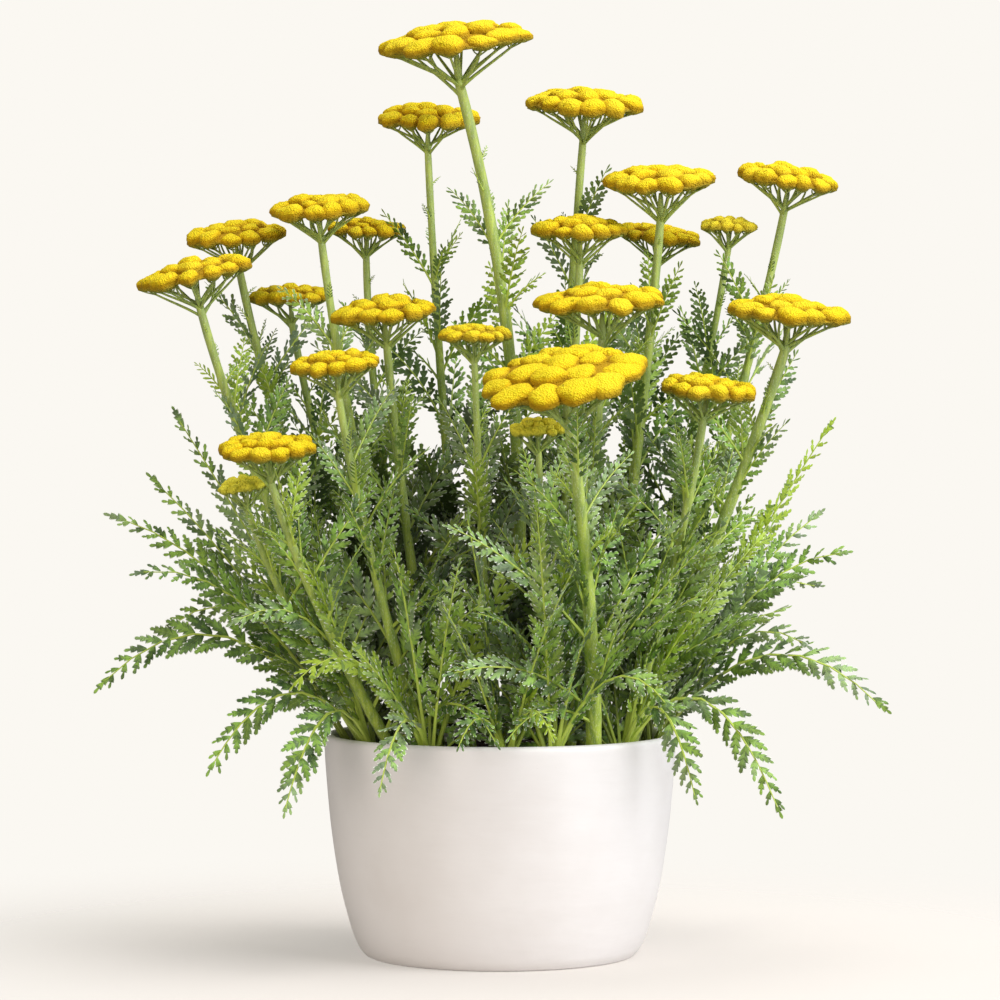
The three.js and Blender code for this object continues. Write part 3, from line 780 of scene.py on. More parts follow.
@dataclass
class Soil:
    """Potting soil: a lumpy top over a plug that fills the hollow, with loose crumbs on it.

    Attributes:
        wall: radius and height of the plug's side, from the pot's floor up.
        top: mean height of the soil.
        waves: length and weight of each wave in the top.
        relief: how far the waves lift it.
        segments: corners of a ring.
        rings: rings from the side in to the middle.
        crumbs: how many crumbs lie on it.
        spread: how far from the middle the last of them lies.
    """

    wall: Outline = ((81.3, 8.4), (91.3, 14.4), (101.7, 50.4), (110.3, 110.4), (111.4, 133.5))
    top: float = 137
    waves: Outline = ((31, 0.5), (13, 0.35), (5.5, 0.3))
    relief: float = 2.5
    segments: int = 96
    rings: int = 24
    crumbs: int = 260
    spread: float = 108

    def lift(self, x: Array, y: Array) -> Array:
        """Height of the lumpy top: crossed waves of falling length, each turned on the last.

        Args:
            x: places to the right.
            y: places to the back.

        Returns:
            The height above the mean there.
        """
        total = np.zeros_like(x)
        for order, (length, weight) in enumerate(self.waves):
            turn = 1.1 * order + 0.4
            u = x * math.cos(turn) + y * math.sin(turn)
            v = y * math.cos(turn) - x * math.sin(turn)
            total += weight * np.sin(6.28 * u / length + 2 * order) * np.cos(6.28 * v / length + order)
        return self.relief * total

    def build(self, earth: Material) -> bpy.types.Object:
        """Makes the soil: rings up the wall and in over the top to its middle, and crumbs.

        Args:
            earth: its material.

        Returns:
            The soil's object.
        """
        wall = np.array(self.wall, float)
        radius = np.concatenate([wall[:, 0], self.wall[-1][0] * np.linspace(0.975, 0.02, self.rings)])
        height = np.concatenate([wall[:, 1], np.full(self.rings, self.top)])
        rings = polar(radius[:, None], evenly(self.segments), height[:, None])
        top = rings[len(wall) :]
        top[..., 2] += self.lift(top[..., 0], top[..., 1])
        skin = Skin()
        skin.add(sleeves(rings[None], self.wall[0][1] * UP[None], self.top * UP[None]))
        skin.add(self.loose())
        return skin.piece("soil_bed", Slot.SOIL, [earth], "soil")

    def loose(self) -> Surface:
        """Crumbs: five-sided beads of two uneven rings, scattered evenly by the golden angle.

        Returns:
            The surface of all the crumbs.
        """
        k = np.arange(self.crumbs)
        size = 1.0 + 1.9 * draw(k, 3, 8) ** 2
        centre = polar(self.spread * np.sqrt((k + 0.5) / self.crumbs), GOLDEN_ANGLE * k, self.top)
        centre[:, 2] += self.lift(centre[:, 0], centre[:, 1])
        centre[:, 2] += 0.3 * size
        uneven = size[:, None] * (1 + 0.3 * swing(k[:, None], np.arange(5), 6))
        ring = polar(uneven, evenly(5) + 6 * draw(k, 1, 2)[:, None])
        rise = UP * size[:, None]
        lower = centre[:, None] + ring - 0.4 * rise[:, None]
        upper = centre[:, None] + 0.8 * ring + 0.4 * rise[:, None]
        return sleeves(np.stack([lower, upper], 1), centre - 0.8 * rise, centre + 0.8 * rise)


@dataclass
class Bloom:
    """Where a stalk and its flower head stand, as on the frame.

    Attributes:
        index: the stalk's number, from 0.
        bloom: the head's middle, at the height of its rim.
        width: the head's width.
        lean: the head's lean to the right and to the front, in degrees.
        foot: where the stalk leaves the soil.
        bow: how far the stalk bows to the right.
        leaves: how many leaves the frame's stalk may have.
        unripe: how young the head is, from 0 to 1.
        girth: factor on the living stalk's radius.
        soil_top: height of the soil.
        underside: how far the head reaches below its rim.
    """

    index: int
    bloom: Point
    width: float
    lean: tuple[float, float]
    foot: tuple[float, float]
    bow: float
    leaves: int
    unripe: float = 0.0
    girth: float = 1.0
    soil_top: float = 137
    underside: float = 6

    def __post_init__(self) -> None:
        """Works out the head's axes: up leans to the right and to the front."""
        side, front = (math.tan(math.radians(angle)) for angle in self.lean)
        self.at = np.array(self.bloom, float)
        self.up = unit(np.array([side, -front, 1.0]))
        self.right = unit(np.array([1.0, 0, 0]) - self.up * self.up[0])
        self.back = np.cross(self.up, self.right)

    @property
    def number(self) -> str:
        """The stalk's number in the names of nodes and pieces."""
        return f"{self.index + 1:02d}"

    @property
    def crown(self) -> float:
        """How far the head's middle stands above its rim, more while it is young."""
        return (0.10 + 0.11 * self.unripe) * self.width

    @property
    def fork_depth(self) -> float:
        """How far the branches fork below the head's underside."""
        return 2 + 0.17 * self.width

    def spot(self, local: Array) -> Array:
        """Points given along the head's right, back and up axes, in the plant's frame."""
        return self.at + local @ np.stack([self.right, self.back, self.up])

    def line(self) -> Array:
        """Controls of the stalk's curve: from its foot, leaning out and then up, to the fork.

        Returns:
            Four controls, (4, 3).
        """
        fork = self.spot(np.array([0, 0, -self.underside - self.fork_depth]))
        foot = np.array([*self.foot, self.soil_top])
        pulls = []
        for out, rise in ((0.42, 0.33), (0.8, 0.68)):
            at = mix(foot, fork, np.array([out, out, rise]))
            pulls.append(at + np.array([self.bow, 0, 0]))
        return np.stack([foot, *pulls, fork])

    def radius(self, t: float | Array) -> float | Array:
        """The radius of the frame's rod: widest at its foot."""
        return (2.3 + 0.021 * self.width) * mix(1.25, 1, np.minimum(1, 2 * np.asarray(t)))

    def slim(self, t: float | Array) -> float | Array:
        """The living stalk's radius, which tapers more than the frame's rod around it."""
        return self.girth * self.radius(t) * mix(0.90, 0.70, np.asarray(t) ** 1.5)

    def lumps(self) -> tuple[Array, Array, float]:
        """Places of the lumps of florets: one in the middle and two rings around it.

        A lump's ring gives its radius and its number in the ring gives its angle, both swung a
        little by the repeatable draw.

        Returns:
            The lumps' radii and angles, and the spacing of the rings.
        """
        rings = (1, 6, 12) if self.width > 38 else (1, 5, 10)
        spacing = self.width / 2 / (len(rings) - 0.5)
        radii, angles = [], []
        for ring, count in enumerate(rings):
            k = np.arange(count)
            radii.append(spacing * ring * (1 + 0.065 * swing(self.index, ring, k)))
            start = 0.5 * ring + 0.1 * self.index
            angles.append(start + 2 * np.pi / count * (k + 0.13 * swing(self.index, k, ring + 20)))
        return np.concatenate(radii), np.concatenate(angles), spacing


@dataclass
class FlowerHead:
    """A flat head: lumps of tightly packed florets over a bed, on a candelabra of branches.

    Attributes:
        plan: where the head stands.
        mesh: side of a square in the lumps' nets.
        arc: half the width of a net, in radii of its lump.
        relief: how far a point of a net stands out or in by its draw.
        edge: angle down from a lump's top where its net ends.
        full: the spacing of lumps from which they are as tall as on the largest heads.
        sunk: how far the lumps' middles lie below the crown.
        swells: for each swell of a lump's outline, how many there are round it and how high.
        bed_share: the bed's rings, from the middle of its underside on, as shares of its radius.
        bed_face: their heights, as shares of a lump's height or depth.
        bough: a bough's radius at both ends, as shares of the stalk's.
        twig: the same for a twig.
        ray: a ray's radii.
    """

    plan: Bloom
    mesh: float = 1.75
    arc: float = 1.32
    relief: float = 0.26
    edge: float = 1.80
    full: float = 14
    sunk: float = 1.6
    swells: tuple[tuple[int, float], ...] = ((2, 0.13), (3, 0.07), (5, 0.05))
    bed_share: tuple[float, ...] = (0.25, 0.6, 0.82, 0.88, 0.8, 0.7, 0.6, 0.5, 0.4, 0.3, 0.2, 0.1)
    bed_face: tuple[float, ...] = (-0.5, -0.5, -0.4, -0.1, 0.05) + 7 * (0.12,)
    bough: tuple[float, float] = (0.42, 0.24)
    twig: tuple[float, float] = (0.34, 0.22)
    ray: Point = (0.72, 0.62, 0.55)

    def __post_init__(self) -> None:
        """Settles the lumps' places, sizes and axes from the plan."""
        plan = self.plan
        away, self.angle, self.spacing = plan.lumps()
        k = np.arange(len(away))
        self.share = away / (plan.width / 2)
        crown = plan.crown * (1 - self.share**2)
        self.radius = self.spacing * mix(0.43, 0.62, draw(plan.index, k, 61))
        self.size = min(1.0, self.spacing / self.full)
        self.top = self.size * (2.6 + 6.2 * self.radius / self.spacing + 1.5 * swing(plan.index, k, 41))
        self.depth = self.size * 3.2 + 0.35 * crown
        self.centre = polar(away, self.angle, crown - self.sunk)
        self.centre[:, :2] *= 1 - 0.12 * self.spacing / (plan.width / 2)
        outward = polar(1, self.angle)
        self.up = unit(UP + (0.34 * self.share**2)[:, None] * outward)
        self.out = unit(outward - dot(outward, self.up) * self.up)
        self.round = np.cross(self.up, self.out)

    def outline(self, turn: Array) -> Array:
        """How far a lump reaches at each angle: a circle with a few swells, turned by a draw.

        Args:
            turn: angles about the lump's upright axis, spreading over (lumps, ...).

        Returns:
            The reach at each angle, where the circle's is 1.
        """
        k = np.arange(len(self.angle)).reshape(-1, *[1] * (turn.ndim - 1))
        reach = 1
        for number, (fold, height) in enumerate(self.swells):
            reach = reach + height * np.cos(fold * turn + 3.1 * swing(self.plan.index, k, 51 + number))
        return reach

    def set_out(self, local: Array) -> Array:
        """Points given along each lump's own axes, in the plant's frame.

        Args:
            local: distances out, round and up, (lumps, ..., 3).

        Returns:
            The points, of the same shape.
        """
        axes = np.stack([self.out, self.round, self.up], 1)
        extra = local.ndim - 2
        centre = self.centre.reshape(-1, *[1] * extra, 3)
        return self.plan.spot(centre + np.einsum("k...i,kij->k...j", local, axes))

    def florets(self) -> Surface:
        """The lumps' skins, each a square net of florets drawn round into a cushion.

        A net point (a, b) goes to the disk at a sqrt(1 - b^2/2), b sqrt(1 - a^2/2). Its distance
        from the middle becomes an angle down from the top; sin^0.85 of it is how far out the
        point lies and cos^0.8 how high, so that the net wraps over a flat-topped cushion and
        curls in below its widest line. Two pairs of crossed waves swell it into knobs and smaller
        knobs, and each point stands out or in by a draw.

        Returns:
            The surface of all the head's lumps.
        """
        cells = int(round(2 * self.arc * self.radius.mean() / self.mesh))
        i, j = np.meshgrid(np.arange(cells + 1), np.arange(cells + 1), indexing="ij")
        k = np.arange(len(self.angle))[:, None, None]
        inside = (i > 0) & (i < cells) & (j > 0) & (j < cells)
        loosen = 0.75 * inside / cells
        a = 2 * i / cells - 1 + loosen * swing(i + 31 * self.plan.index, j, k)
        b = 2 * j / cells - 1 + loosen * swing(j + 17, i + 5 * self.plan.index, k)
        u, v = a * np.sqrt(1 - b * b / 2), b * np.sqrt(1 - a * a / 2)
        turn = np.arctan2(v, u)
        down = self.edge * np.minimum(1, np.hypot(u, v))
        knobs = np.sin(5.5 * u + 9 * draw(k, 1, 3)) * np.cos(5.5 * v + 9 * draw(k, 2, 4))
        small = np.sin(11 * u + 4 * v + 9 * draw(k, 3, 3)) * np.cos(11 * v - 4 * u + 9 * draw(k, 4, 4))
        rough = self.relief * self.size**2 * swing(i, j, k + 7)
        stand = self.size * (0.55 * knobs + 0.36 * small) + rough
        reach = self.radius[:, None, None] * self.outline(turn)
        out, rise = np.sin(down) ** 0.85, np.cos(down)
        height = np.sign(rise) * np.abs(rise) ** 0.8
        tall = np.where(rise < 0, self.depth[:, None, None], self.top[:, None, None])
        local = polar((reach + stand) * out, turn, (tall + stand) * height)
        # rise sets painted light and shade: near 1 on a lump's top, painted brightest, down to 0 low on its
        # side, painted amber as shade.
        marks = {
            "rise": 1 - np.minimum(1, down / 1.4) ** 2.2 + 0 * k,
            "under": np.clip((down - 1.5) / 0.5, 0, 0.5) + 0 * k,
            "tone": 0 * down + np.clip(self.plan.unripe + 0.10 * swing(k, 5, self.plan.index), 0, 1),
        }
        return self.close(local, marks, cells)

    def close(self, local: Array, marks: dict[str, Array], cells: int) -> Surface:
        """Closes each net below with a ring and a middle point, and splits its squares.

        Squares are split along one diagonal and the other in turn, as on a chessboard.

        Args:
            local: net points along the lumps' axes, (lumps, cells + 1, cells + 1, 3).
            marks: their marks, (lumps, cells + 1, cells + 1).
            cells: squares along the net's side.

        Returns:
            The closed surface.
        """
        count = len(local)
        size = cells + 1
        net = np.arange(size * size).reshape(size, size)
        a, b, c, d = net[:-1, :-1], net[1:, :-1], net[1:, 1:], net[:-1, 1:]
        even = (np.add.outer(np.arange(cells), np.arange(cells)) % 2 == 0)[..., None, None]
        crossed = np.stack([np.stack([a, b, d], -1), np.stack([b, c, d], -1)], -2)
        straight = np.stack([np.stack([a, b, c], -1), np.stack([a, c, d], -1)], -2)
        top = np.where(even, crossed, straight).reshape(-1, 3)
        rim = np.concatenate([net[:-1, 0], net[-1, :-1], net[:0:-1, -1], net[0, :0:-1]])
        edge = local.reshape(count, -1, 3)[:, rim]
        hem = edge * np.array([0.55, 0.55, 0]) + UP * (-self.depth * 1.02)[:, None, None]
        middle = UP * (-self.depth * 1.3)[:, None, None]
        points = np.concatenate([local.reshape(count, -1, 3), hem, middle], 1)
        ring = size * size + np.arange(len(rim))
        rim_next, ring_next = np.roll(rim, -1), np.roll(ring, -1)
        quads = np.stack([rim, ring, ring_next, rim_next], -1)
        centre = np.full(len(rim), size * size + len(rim))
        fan = np.stack([ring, centre, ring_next], -1)
        step = (np.arange(count) * points.shape[1])[:, None, None]
        spread = {}
        for name, value in marks.items():
            base = value.reshape(count, -1)
            closing = 1.0 if name == "under" else base[:, rim].mean()
            spread[name] = np.concatenate([base, np.full((count, len(rim) + 1), closing)], 1).ravel()
        return Surface(
            self.set_out(points).reshape(-1, 3),
            (quads + step).reshape(-1, 4),
            (np.concatenate([top, fan]) + step).reshape(-1, 3),
            spread,
        )

    def bed(self) -> Surface:
        """The deeper florets, seen between the lumps: a low lens that follows the head's crown.

        Its rings go from the middle of its underside out to its rim and in over its top. Each
        point stands out or in by a draw, and on top it stands up or down by another.

        Returns:
            The lens's surface.
        """
        plan = self.plan
        corner = np.arange(44)
        share, face = np.array(self.bed_share), np.array(self.bed_face)
        ring = np.arange(len(share))[:, None]
        thick = np.where(face < 0, self.depth.mean(), self.top.mean())
        radius = plan.width / 2 * share[:, None] * (1 + 0.03 * swing(plan.index, ring, corner))
        height = (plan.crown * (1 - share**2) - self.sunk + face * thick)[:, None]
        height = height + 0.8 * (face > 0)[:, None] * swing(ring, corner, plan.index + 3)
        rings = polar(radius, evenly(len(corner)), height)
        under = np.where(face < 0, 0.5, 0.0)[None, :, None]
        starts, tips = (plan.spot(end * UP[None]) for end in (height[0, 0], height[-1].mean()))
        # A rise of 0 paints the bed in the amber gap colour: painted shade between the lumps.
        return sleeves(plan.spot(rings)[None], starts, tips, rise=0.0, under=under, tone=plan.unripe)

    def build(self, florets: Material) -> bpy.types.Object:
        """Makes the head's florets.

        Args:
            florets: their material.

        Returns:
            The head's object.
        """
        number = self.plan.number
        skin = Skin("rise", "under", "tone")
        skin.add(self.florets())
        skin.add(self.bed())
        return skin.piece(f"head_{number}", Slot.FLORETS, [florets], f"bloom_{number}")

    def branches(self) -> list[Surface]:
        """The candelabra under the head: boughs and twigs that end under lumps, and rays to them.

        Returns:
            The surfaces of the boughs, the twigs and the rays.
        """
        girth = self.plan.slim(1.0)
        seat = self.centre - UP * (self.depth * 1.05)[:, None]
        tips = np.flatnonzero(self.share > self.share.max() - 0.16)
        rest = np.setdiff1d(np.arange(len(seat)), tips)
        boughs = self.boughs(seat[tips])
        twigs = self.twigs(seat[rest], rest, boughs, tips)
        below = np.empty_like(seat)
        below[tips], below[rest] = boughs[:, -2], twigs[:, -2]
        made = (
            (boughs, girth * np.linspace(*self.bough, boughs.shape[1]), 5, 0.35),
            (twigs, girth * np.linspace(*self.twig, twigs.shape[1]), 5, 0.5),
            (self.rays(below), np.array(self.ray), 3, 0.75),
        )
        return [tubes(self.plan.spot(paths), radii, sides, pale=pale) for paths, radii, sides, pale in made]

    def boughs(self, ends: Array) -> Array:
        """Paths of the boughs, which leave the stalk below its fork and end under the outer lumps.

        Args:
            ends: where they end, along the head's axes, (boughs, 3).

        Returns:
            Stations along the head's axes, (boughs, stations, 3).
        """
        plan = self.plan
        swung = swing(plan.index, np.arange(len(ends)), 71)
        start = UP * (-plan.underside - plan.fork_depth * (1.18 + 0.34 * swung))[:, None]
        rise = (ends - start) * UP
        span = ends - start - rise
        low, high = start + 0.26 * span + 0.34 * rise, start + 0.70 * span + 0.66 * rise
        return bezier(np.stack([start, low, high, ends], 1), np.linspace(0, 1, 8))[0]

    def twigs(self, ends: Array, lumps: Array, boughs: Array, tips: Array) -> Array:
        """Paths of the twigs, each from the bough nearest in angle to a lump that has no bough.

        The further out the lump is, the further out its twig leaves the bough. A twig that leaves
        at the bough's foot starts half a fork's depth above it.

        Args:
            ends: where they end, along the head's axes, (twigs, 3).
            lumps: the numbers of the lumps that they hold.
            boughs: stations of the boughs, (boughs, stations, 3).
            tips: the numbers of the lumps that the boughs hold.

        Returns:
            Stations along the head's axes, (twigs, stations, 3).
        """
        away = (self.angle[lumps][:, None] - self.angle[tips] + np.pi) % (2 * np.pi) - np.pi
        nearest = np.argmin(np.abs(away), axis=1)
        leave = mix(0.0, 0.52, self.share[lumps] / self.share.max())
        place = np.rint(leave * (boughs.shape[1] - 1)).astype(int)
        way = unit(np.gradient(boughs, axis=1))[nearest, place]
        fork = boughs[nearest, place] + (0.5 * self.plan.fork_depth * (place == 0))[:, None] * UP
        gap = np.linalg.norm(ends - fork, axis=1)[:, None]
        pulls = fork + 0.30 * gap * way, ends - 0.25 * gap * UP
        return bezier(np.stack([fork, *pulls, ends], 1), np.linspace(0, 1, 6))[0]

    def rays(self, below: Array) -> Array:
        """Paths of the rays: four from below each lump, spreading to its skin.

        Args:
            below: where each lump's rays start, along the head's axes, (lumps, 3).

        Returns:
            Stations along the head's axes, (rays, 3, 3).
        """
        turn = evenly(4) + 2.1 * np.arange(len(below))[:, None]
        spread = polar(0.66 * self.radius[:, None], turn)
        ends = self.centre[:, None] + spread - UP * (self.depth * 0.8)[:, None, None]
        start = below[:, None]
        middle = mix(start, ends, 0.55) + 0.10 * spread
        return np.stack(np.broadcast_arrays(start, middle, ends), 2).reshape(-1, 3, 3)


@dataclass
class Stem:
    """A stalk: a ribbed rod along its curve, its branches and its down.

    Attributes:
        plan: where the stalk stands.
        head: the head that it holds.
        stations: rings of the rod between the soil and the fork.
        sides: corners of a ring.
        ribs: depth of its grooves, as a share of its radius.
        root: how far it goes on into the soil.
        crest: how far three last rings rise above the fork, as shares of the fork's depth.
        crest_girth: their radii, as shares of the rod's.
        hairs: how many hairs it has.
        hair: a hair's radius at its root.
    """

    plan: Bloom
    head: FlowerHead
    stations: int = 30
    sides: int = 12
    ribs: float = 0.09
    root: float = 14
    crest: Point = (0.3, 0.65, 0.95)
    crest_girth: Point = (0.84, 0.64, 0.4)
    hairs: int = 140
    hair: float = 0.16

    def rod(self) -> Surface:
        """The stalk's skin, from below the soil to the fork, and on to a point among the branches.

        Returns:
            The rod's surface.
        """
        t = np.linspace(0, 1, self.stations)
        path, way = bezier(self.plan.line(), t)
        root = path[:1] - self.root * way[:1]
        rise = np.array(self.crest)[:, None] * self.plan.fork_depth
        crest = path[-1:] + rise * self.plan.up
        radii = self.plan.slim(t) * (1 + 0.04 * np.cos(40 * t))
        whole = np.concatenate([root, path, crest])[None]
        thick = np.concatenate([radii[:1], radii, np.array(self.crest_girth) * radii[-1]])[None]
        height = np.concatenate([[0.0], t, [1.0, 1.0, 1.0]])
        return tubes(whole, thick, self.sides, self.ribs, pale=(0.1 + 0.45 * height**2)[None, :, None])

    def down(self) -> Surface:
        """White hairs: three-sided spikes that stand out from the stalk and lean up along it.

        Returns:
            The surface of all the hairs.
        """
        k = np.arange(self.hairs)
        t = np.sort(draw(k, self.plan.index, 91)) * 0.97 + 0.02
        path, way = bezier(self.plan.line(), t)
        side = unit(np.cross(way, np.array([0.3, 1.0, 0.1])))
        turn = (2 * np.pi * draw(k, self.plan.index, 92))[:, None]
        out = side * np.cos(turn) + np.cross(way, side) * np.sin(turn)
        base = path + out * (self.plan.slim(t) * 0.93)[:, None]
        long = (0.9 + 0.9 * draw(k, self.plan.index, 93))[:, None]
        tip = base + long * unit(out + way * (0.5 + 0.5 * swing(k, self.plan.index, 94))[:, None])
        corner = evenly(3)[:, None]
        across = np.cross(out, way)
        loop = self.hair * (way[:, None] * np.cos(corner) + across[:, None] * np.sin(corner))
        return sleeves((base[:, None] - loop)[:, None], base - 0.4 * out, tip, pale=1.0)

    def build(self, stem: Material) -> bpy.types.Object:
        """Makes the stalk with its branches and down.

        Args:
            stem: its material.

        Returns:
            The stalk's object.
        """
        number = self.plan.number
        skin = Skin("pale")
        skin.add(self.rod())
        for surface in self.head.branches():
            skin.add(surface)
        skin.add(self.down())
        return skin.piece(f"stem_{number}", Slot.STALK, [stem], f"stalk_{number}")


def facing_roll(azimuth: float, root: Array) -> float:
    """How far a blade turns on its rib to show its face outward, in front and behind alike."""
    return -1.1 * math.cos(azimuth) * (-1 if root[1] > BACK_DEPTH else 1)


def arch(azimuth: float, climb: float, then: float, length: float) -> Array:
    """The arms of a leaf that climbs at one angle to its middle and at another on to its tip."""
    middle = heading(azimuth, climb) * length / 2
    return np.stack([middle, middle + heading(azimuth, then) * length / 2])


@dataclass
class Leaf:
    """A ferny leaf: its midrib is a curve from the root, pulled by the middle, to the tip.

    Attributes:
        root: where it grows from.
        arms: its middle and its tip, from the root.
        azimuth: the way that it points, about the upright axis.
        roll: how far its blade is turned on its midrib.
        leaflet: length of its longest leaflets.
        bare: the share of the midrib that has no leaflets.
        tone: how young it looks, from 0 to 1.
        rib: the midrib's radius at the root.
        crowding: distance between pairs of leaflets, as a share of their length.
    """

    root: Array
    arms: Array
    azimuth: float
    roll: float
    leaflet: float
    bare: float
    tone: float
    rib: float = 1.5
    crowding: float = 0.50

    @property
    def controls(self) -> Array:
        """The controls of the midrib's curve."""
        return self.root + np.stack([np.zeros(3), *self.arms])

    @property
    def length(self) -> float:
        """The midrib's length."""
        return by_length(self.controls, np.zeros(1))[1]

    def bent(self, turn: float, lift: float, length: float) -> "Leaf":
        """The leaf turned about the upright and lifted about its level axis.

        Args:
            turn: turn about the upright, in radians.
            lift: turn about the level axis across the leaf, in radians.
            length: factor on its length.

        Returns:
            The bent leaf.
        """
        hinge = np.array([math.sin(self.azimuth), -math.cos(self.azimuth), 0])
        raised = (
            self.arms * math.cos(lift)
            + np.cross(hinge, self.arms) * math.sin(lift)
            + np.outer(self.arms @ hinge, hinge) * (1 - math.cos(lift))
        )
        c, s = math.cos(turn), math.sin(turn)
        arms = length * raised @ np.array([[c, s, 0], [-s, c, 0], [0, 0, 1]])
        return replace(self, arms=arms, azimuth=self.azimuth + turn, leaflet=self.leaflet * length)

    def axes(self, shares: Array) -> tuple[Array, Array, Array, Array]:
        """The midrib's places and axes at shares of its length.

        The level line across the leaf, squared to the midrib, is turned by the roll to give the
        blade's right; right crossed with the midrib's direction is the blade's up. Both are
        reversed where that shows the blade's upper face outward: up, away from the clump's axis,
        and to the front, or to the back for a leaf rooted far back.

        Args:
            shares: shares of the midrib's length.

        Returns:
            Places, right, along and up, each (n, 3).
        """
        t, _ = by_length(self.controls, shares)
        at, along = bezier(self.controls, t)
        level = np.array([math.sin(self.azimuth), -math.cos(self.azimuth), 0])
        flat = unit(level - dot(along, level) * along)
        right = flat * math.cos(self.roll) + np.cross(flat, along) * math.sin(self.roll)
        up = np.cross(right, along)
        middle = self.root + self.arms[0]
        backward = 0.7 if self.root[1] > FAR_BACK else -0.7
        outward = np.array([middle[0] / CLUMP_RADIUS, middle[1] / CLUMP_RADIUS + backward, 0.8])
        shown = 1.0 if up.mean(0) @ outward > 0 else -1.0
        return at, shown * right, along, shown * up


@dataclass
class Bends:
    """The ways that a leaf may have been bent clear of its neighbours on the frame.

    Attributes:
        node: the frame's node that the leaf is part of.
        lengths: factors on the leaf's length, tried in this order.
        moves: turns about the upright and lifts, in radians, tried in this order at each length.
        tolerance: how near a bend's tip must be to a point of the node.
    """

    node: str
    lengths: tuple[float, ...] = (1, 0.85, 0.68, 0.5)
    moves: Outline = (
        (0, 0), (0.08, 0.02), (-0.08, 0.02), (0, 0.08), (0, -0.08), (0.18, 0.05), (-0.18, 0.05),
        (0, 0.2), (0.34, 0), (-0.34, 0), (0.3, 0.24), (-0.3, 0.24), (0, -0.2), (0.6, 0.1),
        (-0.6, 0.1), (1, 0.15), (-1, 0.15), (1.5, 0.1), (-1.5, 0.1),
    )
    tolerance: float = 0.3

    def __post_init__(self) -> None:
        """Reads the node's points, in millimetres."""
        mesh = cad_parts[self.node].data
        points = np.empty(len(mesh.vertices) * 3, np.float32)
        mesh.vertices.foreach_get("co", points)
        self.points = points.reshape(-1, 3) / MILLIMETRE

    def settle(self, leaf: Leaf) -> Leaf | None:
        """Finds the bend whose tip is a point of the node.

        Args:
            leaf: the leaf before it is bent.

        Returns:
            The leaf as it grows on the frame, or None where it has none.
        """
        for length in self.lengths:
            for turn, lift in self.moves:
                bent = leaf.bent(turn, lift, length)
                away = np.linalg.norm(self.points - (bent.root + bent.arms[1]), axis=1)
                if away.min() < self.tolerance:
                    return bent
        return None


